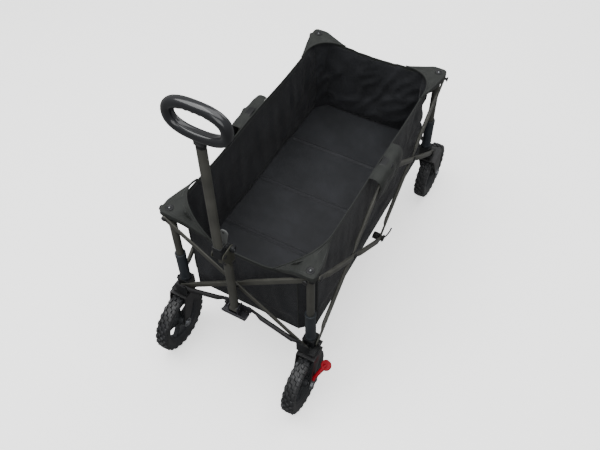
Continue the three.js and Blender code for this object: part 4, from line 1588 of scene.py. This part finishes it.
@dataclass(frozen=True)
class Fold:
    """What a part of the bag rides on, and how it gathers as the frame folds."""

    body: str
    axis: Point | None = None
    anchor: Point = (0, 0, 0)
    keep: float = 1.0

    def apply(self, shop: Workshop, piece: bpy.types.Object) -> None:
        """Lets a finished piece ride on its body.

        Args:
            shop: Where pieces are made.
            piece: The piece.
        """
        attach(piece, self.body)
        if self.axis is not None:
            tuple(self.axis)
            shop.layout.at(self.anchor)
            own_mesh(piece)


@dataclass
class Bag:
    """The canvas bag: one sewn shell with a stiffened floor, taped rims, corner patches and flaps."""

    half_width: float = 204
    half_length: float = 410
    chamfer: float = 38
    floor: float = 290
    rim: float = 570
    front_dip: float = 86
    dip_half: float = 165
    hem: float = 243
    hem_turn: tuple[tuple[float, float], ...] = ((9, 0.4), (4, 0.8), (1, 3))
    cloth: float = 1.2
    skirt_rows: int = 4
    wall_rows: int = 26
    narrowing: float = 291.4
    shortening: float = 582.8
    billow_in: float = 27
    billow_out: float = 6
    settling_frames: int = 34
    fold_seams: tuple[float, ...] = (-205, 0, 205)
    board_gap: float = 1.4

    def __post_init__(self) -> None:
        """Works out how each part of the bag gathers."""
        x, y = self.half_width - self.chamfer, self.half_length - self.chamfer
        across, along = 1 - self.narrowing / (2 * x), 1 - self.shortening / (2 * y)
        self.folds = {
            Zone.FRONT: Fold("front_left_top", (1, 0, 0), (-x, 0, 0), across),
            Zone.FRONT_RIGHT: Fold("front_right_top"),
            Zone.RIGHT: Fold("front_right_top", (0, 1, 0), (0, -y, 0), along),
            Zone.REAR_RIGHT: Fold("rear_right_top"),
            Zone.REAR: Fold("rear_left_top", (1, 0, 0), (-x, 0, 0), across),
            Zone.REAR_LEFT: Fold("rear_left_top"),
            Zone.LEFT: Fold("front_left_top", (0, 1, 0), (0, -y, 0), along),
            Zone.FRONT_LEFT: Fold("front_left_top"),
        }

    def rim_height(self, x: float, y: float) -> float:
        """How high the rim is: it dips at the front and sags a little between its supports elsewhere.

        Args:
            x: The place across the wagon.
            y: The place along it.

        Returns:
            The height in millimetres.
        """
        if y < -self.half_length + 1:
            return self.rim - self.front_dip * max(0.0, 1 - (x / self.dip_half) ** 4)
        if y > self.half_length - 1:
            return self.rim - 7 * max(0.0, 1 - (x / self.dip_half) ** 2)
        if abs(x) > self.half_width - 1:
            share = min(1.0, abs(y) / (self.half_length - self.chamfer))
            return self.rim - 5 * math.sin(math.pi * share) ** 2
        return self.rim

    def columns(self) -> list[tuple[Vector, Vector, Zone]]:
        """The bag's outline, anticlockwise.

        Returns:
            For each point its place, the way out there, and the part of the bag that it belongs to.
        """
        x, y, c = self.half_width, self.half_length, self.chamfer
        corners = [(c - x, -y), (x - c, -y), (x, c - y), (x, y - c), (x - c, y), (c - x, y), (-x, y - c),
                   (-x, c - y)]
        counts = {Zone.FRONT: 34, Zone.RIGHT: 74, Zone.REAR: 34, Zone.LEFT: 74}
        rows: list[tuple[Vector, Vector, Zone]] = []
        for k, zone in enumerate(Zone):
            a, b = Vector(corners[k]), Vector(corners[(k + 1) % 8])
            count = counts.get(zone, 6)
            out = Vector((b.y - a.y, a.x - b.x)).normalized()
            before = Vector((a.y - Vector(corners[k - 1]).y, Vector(corners[k - 1]).x - a.x)).normalized()
            for i in range(count):
                way = out if i else (out + before).normalized()
                rows.append((a.lerp(b, i / count), way, zone))
        return rows

    def shell(self, shop: Workshop) -> tuple[bpy.types.Mesh, list[list[Vector]]]:
        """The walls as one sheet, with wrinkles where the cloth is slack.

        Args:
            shop: Where pieces are made.

        Returns:
            The sheet in the row frame, and each column's points in millimetres about the posts.
        """
        columns = self.columns()
        grid: list[list[Vector]] = []
        for p, out, _ in columns:
            column = [Vector((p.x - out.x * by, p.y - out.y * by, self.hem + up)) for by, up in self.hem_turn]
            low, board, top = self.hem + 6, self.floor + 3, self.rim_height(p.x, p.y)
            heights = [low + (board - low) * k / self.skirt_rows for k in range(self.skirt_rows)]
            heights += [board + (top - board) * k / (self.wall_rows - 1) for k in range(self.wall_rows)]
            grid.append(column + [Vector((p.x, p.y, z)) for z in heights])
        count, high = len(grid), len(grid[0])
        points = [shop.layout.at(p) for column in grid for p in column]
        faces = [(i * high + j, (i + 1) % count * high + j, (i + 1) % count * high + j + 1, i * high + j + 1)
                 for i in range(count) for j in range(high - 1)]
        mesh = bpy.data.meshes.new("walls")
        mesh.from_pydata(points, [], faces)
        zones = mesh.attributes.new("zone", "INT", "FACE")
        zones.data.foreach_set("value", [columns[i][2].value for i in range(count) for _ in range(high - 1)])
        runs = [0.0]
        for i in range(count):
            runs.append(runs[-1] + (grid[(i + 1) % count][-1].xy - grid[i][-1].xy).length)
        flat = mesh.uv_layers.new(name="UVMap")
        for face in mesh.polygons:
            i, j = face.index // (high - 1), face.index % (high - 1)
            corners = ((i, j), (i + 1, j), (i + 1, j + 1), (i, j + 1))
            for loop, (a, b) in zip(face.loop_indices, corners):
                under = max(0, len(self.hem_turn) - b)
                flat.data[loop].uv = (runs[a] * MM, (grid[a % count][b].z - 4 * under) * MM)
        board = len(self.hem_turn) + self.skirt_rows
        held = {i * high + j for i in range(count) for j in (0, 1, 2, board, high - 2, high - 1)}
        slack = {i * high + j: self.slackness(columns[i][2], grid[i][j])
                 for i in range(count) for j in range(high)}
        outward = [out for _, out, _ in columns for _ in range(high)]
        deep = [self.rumple(grid[i][j], runs[i], slack[i * high + j])
                for i in range(count) for j in range(high)]
        self.wrinkle(mesh, held, slack, outward, deep)
        back = [[Vector(mesh.vertices[i * high + j].co) / MM - shop.layout.origin for j in range(high)]
                for i in range(count)]
        return self.smoothed(mesh), back

    def slackness(self, zone: Zone, p: Vector) -> float:
        """How much spare cloth there is: most in the rear wall and by the rear corners, little elsewhere.

        Args:
            zone: The part of the bag.
            p: The point, in millimetres about the posts.

        Returns:
            From 0, tight, to 1, slack.
        """
        if zone in (Zone.REAR, Zone.REAR_LEFT, Zone.REAR_RIGHT):
            return 1.0
        if zone in (Zone.LEFT, Zone.RIGHT):
            return 0.15 + 0.75 * max(0.0, min(1.0, (p.y - 190) / 150))
        return 0.2

    def rumple(self, p: Vector, run: float, slack: float) -> float:
        """How far in the slack cloth starts: broad hollows, and folds that lean across them.

        Args:
            p: The point, in millimetres about the posts.
            run: How far round the bag it is, in millimetres.
            slack: How much spare cloth there is.

        Returns:
            The depth in millimetres.
        """
        share = (p.z - self.floor - 3) / (self.rim - self.floor - 3)
        if slack < 0.3 or not 0.02 < share < 0.98:
            return 0.0
        broad = noise.noise(Vector((run / 85, p.z / 60, 1.7)))
        fold = 1 - 2.4 * abs(noise.noise(Vector((run / 48 + p.z / 80, p.z / 75, 5.3))))
        return slack * math.sin(math.pi * share) ** 0.6 * (7 + 12 * broad + 12 * max(0.0, fold) ** 2.5)

    def wrinkle(self, mesh: bpy.types.Mesh, held: set[int], slack: dict[int, float], outward: list[Vector],
                deep: list[float]) -> None:
        """Lets the cloth settle between its rim and its floor, with more cloth than it needs.

        Args:
            mesh: The sheet, whose points move.
            held: The points that stay.
            slack: How much spare cloth there is at each point.
            outward: The way out of the bag at each point.
            deep: How far in each point starts, in millimetres.
        """
        rest = np.array([v.co for v in mesh.vertices])
        out = np.array([(o.x, o.y, 0.0) for o in outward])
        start = rest - out * np.array(deep)[:, None] * MM
        mesh.vertices.foreach_set("co", start.astype(np.float32).ravel())
        sheet = bpy.data.objects.new("settling", mesh)
        bpy.context.scene.collection.objects.link(sheet)
        pins = sheet.vertex_groups.new(name="held")
        pins.add(sorted(held), 1.0, "REPLACE")
        spare = sheet.vertex_groups.new(name="spare")
        for i, weight in slack.items():
            spare.add([i], weight, "REPLACE")
        modifier = sheet.modifiers.new("settle", "CLOTH")
        cloth = modifier.settings
        cloth.quality = 6
        cloth.mass = 0.25
        cloth.tension_stiffness = cloth.compression_stiffness = 20
        cloth.shear_stiffness = 8
        cloth.bending_stiffness = 0.15
        cloth.vertex_group_mass = "held"
        cloth.vertex_group_shrink = "spare"
        cloth.shrink_min = -0.004
        cloth.shrink_max = -0.085
        cloth.effector_weights.gravity = 0.35
        modifier.collision_settings.use_collision = False
        scene = bpy.context.scene
        for frame in range(1, self.settling_frames + 1):
            scene.frame_set(frame)
        settled = sheet.evaluated_get(bpy.context.evaluated_depsgraph_get())
        moved = np.array([v.co for v in settled.data.vertices]) - rest
        by = np.einsum("ij,ij->i", moved, out)
        capped = np.where(by > 0, self.billow_out, self.billow_in) * MM
        kept = capped * np.tanh(by / capped)
        moved += out * (kept - by)[:, None]
        scene.frame_set(1)
        bpy.data.objects.remove(sheet)
        mesh.vertices.foreach_set("co", (rest + moved).astype(np.float32).ravel())

    def smoothed(self, mesh: bpy.types.Mesh) -> bpy.types.Mesh:
        """The sheet with one level of subdivision, applied.

        Args:
            mesh: The sheet.

        Returns:
            The finer sheet.
        """
        sheet = bpy.data.objects.new("sheet", mesh)
        bpy.context.scene.collection.objects.link(sheet)
        finer = sheet.modifiers.new("finer", "SUBSURF")
        finer.levels = finer.render_levels = 1
        made = bpy.data.meshes.new_from_object(sheet.evaluated_get(bpy.context.evaluated_depsgraph_get()))
        bpy.data.objects.remove(sheet)
        return made

    def thick(self, mesh: bpy.types.Mesh, chosen: list[int], cloth: float) -> bpy.types.Mesh:
        """Some faces of a sheet as a closed cloth, thick about the sheet.

        Args:
            mesh: The sheet, in metres.
            chosen: Its faces.
            cloth: The cloth's thickness in millimetres.

        Returns:
            The closed cloth with the sheet's UV map.
        """
        used = sorted({v for f in chosen for v in mesh.polygons[f].vertices})
        index = {v: i for i, v in enumerate(used)}
        count, half = len(used), cloth / 2 * MM
        points = [mesh.vertices[v].co + mesh.vertices[v].normal * half * s for s in (1, -1) for v in used]
        faces: list[tuple[int, ...]] = []
        flat: list[Vector] = []
        uv = mesh.uv_layers[0].data
        edges: dict[tuple[int, int], tuple[Vector, Vector]] = {}
        for f in chosen:
            face = mesh.polygons[f]
            corners = [index[v] for v in face.vertices]
            places = [uv[i].uv.copy() for i in face.loop_indices]
            faces += [tuple(corners), tuple(c + count for c in reversed(corners))]
            flat += places + places[::-1]
            for k, a in enumerate(corners):
                b = (k + 1) % len(corners)
                edges[(a, corners[b])] = (places[k], places[b])
        for (a, b), (at_a, at_b) in edges.items():
            if (b, a) not in edges:
                faces.append((b, a, a + count, b + count))
                flat += [at_b, at_a, at_a, at_b]
        made = bpy.data.meshes.new("cloth")
        made.from_pydata(points, [], faces)
        layer = made.uv_layers.new(name="UVMap")
        layer.data.foreach_set("uv", [x for place in flat for x in place])
        made.shade_smooth()
        made.set_sharp_from_angle(angle=math.radians(62))
        return made

    def grid_sheet(self, shop: Workshop, rows: Sequence[Sequence[Vector]]) -> bpy.types.Mesh:
        """A sheet through a grid of points, with a UV map in metres.

        Args:
            shop: Where pieces are made.
            rows: The grid, in millimetres about the posts.

        Returns:
            The sheet, in the row frame.
        """
        wide, high = len(rows[0]), len(rows)
        mesh = bpy.data.meshes.new("sheet")
        points = [shop.layout.at(p) for row in rows for p in row]
        faces = [(j * wide + i, j * wide + i + 1, (j + 1) * wide + i + 1, (j + 1) * wide + i)
                 for j in range(high - 1) for i in range(wide - 1)]
        mesh.from_pydata(points, [], faces)
        middle = rows[high // 2]
        across, down = [0.0], [0.0]
        for i in range(1, wide):
            across.append(across[-1] + (middle[i] - middle[i - 1]).length * MM)
        for j in range(1, high):
            down.append(down[-1] + (rows[j][wide // 2] - rows[j - 1][wide // 2]).length * MM)
        layer = mesh.uv_layers.new(name="UVMap")
        for face in mesh.polygons:
            for loop in face.loop_indices:
                v = mesh.loops[loop].vertex_index
                layer.data[loop].uv = (across[v % wide], down[v // wide])
        return mesh

    def sewn(self, shop: Workshop, name: str, sheet: bpy.types.Mesh, fold: Fold,
             chosen: list[int] | None = None, finish: Finish = CANVAS,
             cloth: float | None = None) -> bpy.types.Object:
        """A part of the bag as a piece that stands for the bag's solid.

        Args:
            shop: Where pieces are made.
            name: The piece's name.
            sheet: The sheet it is cut from.
            fold: How it rides.
            chosen: The sheet's faces; all if None.
            finish: Its finish.
            cloth: Its thickness in millimetres; the bag's if None.

        Returns:
            The piece.
        """
        faces = list(range(len(sheet.polygons))) if chosen is None else chosen
        mesh = self.thick(sheet, faces, cloth or self.cloth)
        piece = shop.finished(name, mesh, finish, "", ["bag"])
        fold.apply(shop, piece)
        return piece

    def build(self, shop: Workshop) -> None:
        """Makes the whole bag.

        Args:
            shop: Where pieces are made.
        """
        sheet, grid = self.shell(shop)
        zones = np.zeros(len(sheet.polygons), np.int32)
        sheet.attributes["zone"].data.foreach_get("value", zones)
        starts = [next(i for i, row in enumerate(self.columns()) if row[2] is zone) for zone in Zone]
        for zone in Zone:
            chosen = [int(i) for i in np.flatnonzero(zones == zone.value)]
            self.sewn(shop, f"bag_wall_{zone.word}", sheet, self.folds[zone], chosen)
            first = starts[zone.value]
            last = starts[zone.value + 1] if zone is not Zone.FRONT_LEFT else len(grid)
            rim = [grid[i % len(grid)][-1] for i in range(first, last + 1)]
            self.taped(shop, f"bag_rim_tape_{zone.word}", rim, self.folds[zone])
            line = grid[first][len(self.hem_turn):]
            welt = swept(line, lambda t: oval(3.6, 3.6, steps=8), Vector((1, 0.3, 0)))
            other = self.folds[zone if zone.value % 2 else Zone((zone.value - 1) % len(Zone))]
            shop.piece(f"bag_welt_{zone.word}", welt, TAPE, other.body, "bag_fabric")
        self.floor_panels(shop)
        for end in End:
            for side in Side:
                self.patch(shop, end, side)
        for side in Side:
            self.flap(shop, side)

    def taped(self, shop: Workshop, name: str, rim: list[Vector], fold: Fold) -> None:
        """Tape folded over a rim, with a row of stitches on each face.

        Args:
            shop: Where pieces are made.
            name: The tape's name.
            rim: The rim's points.
            fold: How it rides.
        """
        low = Vector((0, 0, -4.5))
        tape = swept([p + low for p in rim], lambda t: oval(3.8, 14, 4.5, 20), Vector((0, 0, 1)))
        fold.apply(shop, shop.piece(name, tape, TAPE, "", "bag_fabric", angle=60))
        along = [(rim[min(i + 1, len(rim) - 1)] - rim[max(i - 1, 0)]).normalized() for i in range(len(rim))]
        lines = [[p + a.cross(Vector((0, 0, 1))).normalized() * s * 2.0 + Vector((0, 0, -8.5))
                  for p, a in zip(rim, along)] for s in (-1, 1)]
        fold.apply(shop, shop.seam(f"{name}_stitches", lines, 4.5, ""))

    def floor_panels(self, shop: Workshop) -> None:
        """The floor: boards under canvas, with a raised seam where it folds, cut where the frame parts.

        Args:
            shop: Where pieces are made.
        """
        across = 1 - (self.narrowing + 10) / (2 * self.half_width)
        leans = (0.0, 0.0, 0.09, 0.0, -0.09)
        edge = self.board_gap
        cuts = [(-self.half_length + edge, -173, "front_left_top"), (-173, -118, "side_bar_front_low_left"),
                (-118, 118, "top_hub_left"), (118, 173, "side_bar_rear_low_left"),
                (173, self.half_length - edge, "rear_left_top")]
        for number, (y0, y1, body) in enumerate(cuts):
            steps = max(6, round((y1 - y0) / 3))
            rows = []
            for j in range(steps + 1):
                y = y0 + (y1 - y0) * j / steps
                corner = max(0.0, abs(y) - (self.half_length - self.chamfer))
                reach = self.half_width - edge - corner
                row = []
                for i in range(57):
                    u = i / 28 - 1
                    rise = sum(4.4 * math.exp(-(((y - seam) / 3.4) ** 2)) for seam in self.fold_seams)
                    soft = 1.1 * math.sin(y / 37 + 1.3) * math.sin(u * 5 + y / 90) - 1.2 * u * u
                    row.append(Vector((u * reach, y, self.floor + 2.6 + rise + 0.8 * soft)))
                rows.append(row)
            fold = Fold(body, (1, 0, leans[number]), (1 - self.half_width, 0, self.floor), across)
            sheet = self.grid_sheet(shop, rows)
            self.sewn(shop, f"bag_floor_{number}", sheet, fold, cloth=3.0)
            for seam in self.fold_seams:
                if y0 < seam < y1:
                    reach = self.half_width - 16
                    lines = [[Vector((reach * (i / 20 - 1), seam + dy, self.floor + 5.4)) for i in range(41)]
                             for dy in (-8, 8)]
                    word = "middle" if seam == 0 else ("front" if seam < 0 else "rear")
                    fold.apply(shop, shop.seam(f"bag_floor_stitches_{word}", lines, 5, ""))

    def patch(self, shop: Workshop, end: End, side: Side) -> None:
        """A corner patch: canvas stretched over a post's cap from rim to rim, with a snap in it.

        Args:
            shop: Where pieces are made.
            end: Its end.
            side: Its side.
        """
        s, e = side.value, end.value
        word = f"{end.word}_{side.word}"
        x, y = shop.layout.post_x, shop.layout.post_y
        reach, back = (107, 112) if end is End.FRONT else (98, 115)
        tip_side = Vector((self.half_width + 1, self.half_length - back, 0))
        tip_end = Vector((self.half_width - reach, self.half_length + 1, 0))
        tip_side.z = self.rim_height(self.half_width, tip_side.y) + 3
        tip_end.z = self.rim_height(tip_end.x, e * self.half_length) + 3
        top, out, bend = self.rim + 7.2, 20.5, 9.0
        outer = [tip_side, Vector((x + 12, y - 62, top - 2.5)), Vector((x + out, y - 22, top)),
                 Vector((x + out, y + out - bend, top)),
                 Vector((x + out - bend * 0.3, y + out - bend * 0.3, top)),
                 Vector((x + out - bend, y + out, top)), Vector((x - 22, y + out, top)),
                 Vector((x - 48, y + 12, top - 2.5 - 0.2 * (top - tip_end.z))), tip_end]
        steps = 36
        outside = [self.along(outer, i / steps) for i in range(steps + 1)]
        height = 2 * top - 4 - (tip_side.z + tip_end.z) / 2
        knee = Vector((self.half_width + 10, self.half_length - 8, height))
        inside = []
        for i in range(steps + 1):
            t = i / steps
            inside.append(tip_side * (1 - t) ** 2 + knee * 2 * t * (1 - t) + tip_end * t * t)
        rows = []
        for j in range(13):
            v = j / 12
            rows.append([a.lerp(b, v) + Vector((0, 0, 0.9 * math.sin(math.pi * v) * math.sin(t * 17 / steps)))
                         for t, (a, b) in enumerate(zip(outside, inside))])
        skirt = []
        for depth, grow in ((13.5, 1.2), (9, 1.4), (4, 1.2), (1.2, 0.5)):
            row = []
            for i, p in enumerate(outside):
                share = min(1.0, 5 * min(i, steps - i) / steps)
                way = Vector((p.x - x + 6, p.y - y + 6, 0)).normalized()
                row.append(p + way * grow * share + Vector((0, 0, -depth * share - 0.3)))
            skirt.append(row)
        rows = skirt + rows
        rows = [[Vector((p.x * s, p.y * e, p.z)) for p in row] for row in rows]
        if s * e < 0:
            rows = [row[::-1] for row in rows]
        fold = self.folds[Zone[f"{end.name}_{side.name}"]]
        sheet = self.grid_sheet(shop, rows)
        made = self.sewn(shop, f"bag_patch_{word}", sheet, fold, cloth=1.8, finish=TAPE)
        declare(made, [f"post_cap_{word}"])
        edge = [Vector((p.x * s, p.y * e, p.z + 0.4)) for p in inside]
        tape = swept(edge, lambda t: oval(4.4, 5.4, 3, 12), Vector((0, 0, 1)))
        fold.apply(shop, shop.piece(f"bag_patch_edge_{word}", tape, TAPE, "", "bag_fabric", angle=60))
        hem = [[Vector((p.x * s, p.y * e, p.z + 0.8)) for p in
                (a.lerp(b, 0.16 + 0.1 * k) for a, b in zip(outside[3:-3], inside[3:-3]))] for k in (0, 6.4)]
        fold.apply(shop, shop.seam(f"bag_patch_stitches_{word}", hem, 4.5, ""))
        at = (s * x, e * y, top + 0.6)
        profile = [(2.9, 0), (11.5, 0), (11.5, 1.2), (10.4, 2.2), (8, 2.4), (6.6, 1.6), (4.6, 1.2),
                   (2.9, 1.2)]
        collar = lathe(profile, ORIGIN, UP, 36, ring=True)
        shop.stud(f"snap_ring_{word}", [(at, UP)], collar, NYLON, fold.body)
        rivet = lathe([(2.6, 0), (2.6, 1.2), (2.1, 2.0), (1.2, 2.4), (0.3, 2.5)], ORIGIN, UP, 24)
        shop.stud(f"snap_rivet_{word}", [(at, UP)], rivet, ZINC, fold.body)

    def along(self, points: Sequence[Vector], share: float) -> Vector:
        """The point at a share of a line's length.

        Args:
            points: The line.
            share: From 0 to 1.

        Returns:
            The point.
        """
        spans = [(b - a).length for a, b in zip(points, points[1:])]
        left = share * sum(spans)
        for a, b, span in zip(points, points[1:], spans):
            if left <= span:
                return a.lerp(b, left / span)
            left -= span
        return points[-1].copy()

    def flap(self, shop: Workshop, side: Side) -> None:
        """The flap that hangs from a long rim over the top hub.

        Args:
            shop: Where pieces are made.
            side: Its side.
        """
        s = side.value
        profile = [(205.5, self.rim + 1), (214, self.rim + 4.5), (226, self.rim + 5), (238, self.rim + 0.5),
                   (245, self.rim - 12), (246.5, self.rim - 28), (245, self.rim - 50), (241, self.rim - 72)]
        line = [Vector((a, 0, b)) for a, b in profile]
        rows = []
        for j in range(25):
            p = self.along(line, j / 24)
            row = []
            for i in range(41):
                u = i / 20 - 1
                pull = max(0.0, abs(u) - 0.55) / 0.45
                bump = 2.6 * math.exp(-((u / 0.22) ** 2) - ((p.z - 562) / 16) ** 2)
                wave = 1.2 * math.sin(9 * u + j / 5) * (j / 24)
                hang = -6 * (j / 24) * abs(u) ** 3
                row.append(Vector((s * (p.x + bump + wave - 7 * pull ** 2 * (j / 24)), 76 * u, p.z + hang)))
            rows.append(row if s < 0 else row[::-1])
        rows = rows[::-1]
        body = f"top_hub_{side.word}"
        sheet = self.grid_sheet(shop, rows)
        made = self.sewn(shop, f"bag_flap_{side.word}", sheet, Fold(body), finish=TAPE, cloth=1.4)
        declare(made, [f"top_hub_{side.word}"])
        hem = [[p + Vector((s * 1.0, 0, 4)) for p in rows[0]]]
        shop.seam(f"bag_flap_stitches_{side.word}", hem, 4.5, body)


def declare(piece: bpy.types.Object, rests_on: list[str]) -> None:
    """Works out how large a thin cloth piece was cut, and keeps none of it.

    Args:
        piece: The piece, a closed thin cloth.
        rests_on: Not used.
    """
    flat = [loop.uv for loop in piece.data.uv_layers[0].data]
    width, length = (max(p[k] for p in flat) - min(p[k] for p in flat) for k in (0, 1))
    area = sum(face.area for face in piece.data.polygons) / 2
    grow = max(1.0, math.sqrt(area / (width * length)) * 1.02)
    width * grow
    length * grow
    min(area, width * length * grow * grow)


# ---- Studio ----


@dataclass
class Studio:
    """The camera, the lights and a pale floor."""

    place: Point = (0.6640, -1.2713, 2.0072)
    yaw: float = 29.56
    pitch: float = 49.94
    roll: float = -1.08
    lens: float = 42.5
    shift_y: float = -0.0417
    below: float = 0.2
    level: float = 0.55
    room: float = 0.9
    wall: float = 8.0
    ground_flat: float = 6.0
    ground_bend: float = 3.0
    ground_turns: int = 96

    def camera(self) -> None:
        """Stands the camera high up in front of the handle and to its right."""
        yaw, pitch, roll = (math.radians(a) for a in (self.yaw, self.pitch, self.roll))
        ahead = Vector((-math.sin(yaw) * math.cos(pitch), math.cos(yaw) * math.cos(pitch), -math.sin(pitch)))
        level = ahead.cross(Vector((0, 0, 1))).normalized()
        high = level.cross(ahead)
        right = level * math.cos(roll) + high * math.sin(roll)
        up = high * math.cos(roll) - level * math.sin(roll)
        lens = bpy.data.cameras.new("camera")
        lens.sensor_width, lens.lens, lens.shift_y = 36, self.lens, self.shift_y
        made = bpy.data.objects.new("camera", lens)
        made.matrix_world = Matrix((right, up, -ahead)).transposed().to_4x4()
        made.location = self.place
        bpy.context.scene.collection.objects.link(made)
        bpy.context.scene.camera = made

    def light(self, name: str, place: Point, size: float, power: float) -> None:
        """A square soft light that looks at the wagon.

        Args:
            name: Its name.
            place: Where it hangs.
            size: The length of its sides.
            power: Its power in watts.
        """
        lamp = bpy.data.lights.new(name, "AREA")
        lamp.size, lamp.energy = size, power
        made = bpy.data.objects.new(name, lamp)
        made.location = place
        made.rotation_euler = (Vector((0, 0, 0.4)) - Vector(place)).to_track_quat("-Z", "Y").to_euler()
        bpy.context.scene.collection.objects.link(made)

    def build(self) -> None:
        """Makes the lights, the room and its floor."""
        self.light("key", (-1.3, -1.0, 3.6), 2.4, 95)
        self.light("top", (0.2, 0.2, 3.4), 2.6, 60)
        self.light("fill", (1.1, -3.1, 2.6), 2.4, 50)
        self.light("back", (0.6, 3.2, 2.6), 2.0, 30)
        self.ceiling()
        self.ground()

    def ceiling(self) -> None:
        """A room that is bright above and dim below."""
        world = bpy.data.worlds.new("pale_room")
        world.use_nodes = True
        background = world.node_tree.nodes["Background"]
        tree = world.node_tree
        coordinates = node(tree, "ShaderNodeTexCoord")
        way = node(tree, "ShaderNodeSeparateXYZ", {"Vector": coordinates.outputs["Generated"]})
        links = {"Value": way.outputs["Z"], "From Min": -1.0, "From Max": 1.0}
        share = node(tree, "ShaderNodeMapRange", links)
        ramp = node(tree, "ShaderNodeValToRGB", {"Fac": share.outputs[0]})
        ramp.color_ramp.elements[0].color = (self.below, self.below, self.below, 1)
        ramp.color_ramp.elements[1].color = (1, 1, 1, 1)
        ramp.color_ramp.elements.new(0.55).color = (self.level, self.level, self.level, 1)
        tree.links.new(ramp.outputs[0], background.inputs["Color"])
        background.inputs["Strength"].default_value = self.room
        bpy.context.scene.world = world

    def ground(self) -> None:
        """A round floor that bends up into its wall, and throws no light on the wagon."""
        turns, flat, bend = self.ground_turns, self.ground_flat, self.ground_bend
        profile = [(flat + bend * math.sin(a), bend - bend * math.cos(a))
                   for a in np.linspace(0, math.pi / 2, 16)]
        profile.append((flat + bend, self.wall))
        points = [(r * math.cos(math.tau * k / turns), r * math.sin(math.tau * k / turns), z)
                  for r, z in profile for k in range(turns)]
        faces = []
        for j in range(len(profile) - 1):
            low, high = j * turns, (j + 1) * turns
            steps = [(k, (k + 1) % turns) for k in range(turns)]
            faces += [(low + a, high + a, high + b, low + b) for a, b in steps]
        mesh = bpy.data.meshes.new("studio_floor")
        mesh.from_pydata(points, [], [tuple(range(turns))] + faces)
        mesh.shade_smooth()
        mesh.materials.append(PAPER.material())
        floor = bpy.data.objects.new("studio_floor", mesh)
        bpy.context.scene.collection.objects.link(floor)
        floor.visible_diffuse = floor.visible_glossy = floor.visible_shadow = False


def main() -> None:
    """Builds the wagon round its frame, part by part."""
    logging.basicConfig(level=logging.INFO, format="%(name)s %(message)s")
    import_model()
    studio = Studio()
    studio.camera()
    studio.build()
    shop = Workshop(Layout.measured(), Ring(), Studs(), Stitches())
    scissors = Scissors()
    for end in End:
        scissors.end(shop, end)
        for side in Side:
            Corner(end, side).build(shop, scissors)
    for side in Side:
        scissors.side(shop, side)
    RunningGear().build(shop)
    Brake().build(shop)
    PullHandle().build(shop)
    Bag().build(shop)


if __name__ == "__main__":
    main()
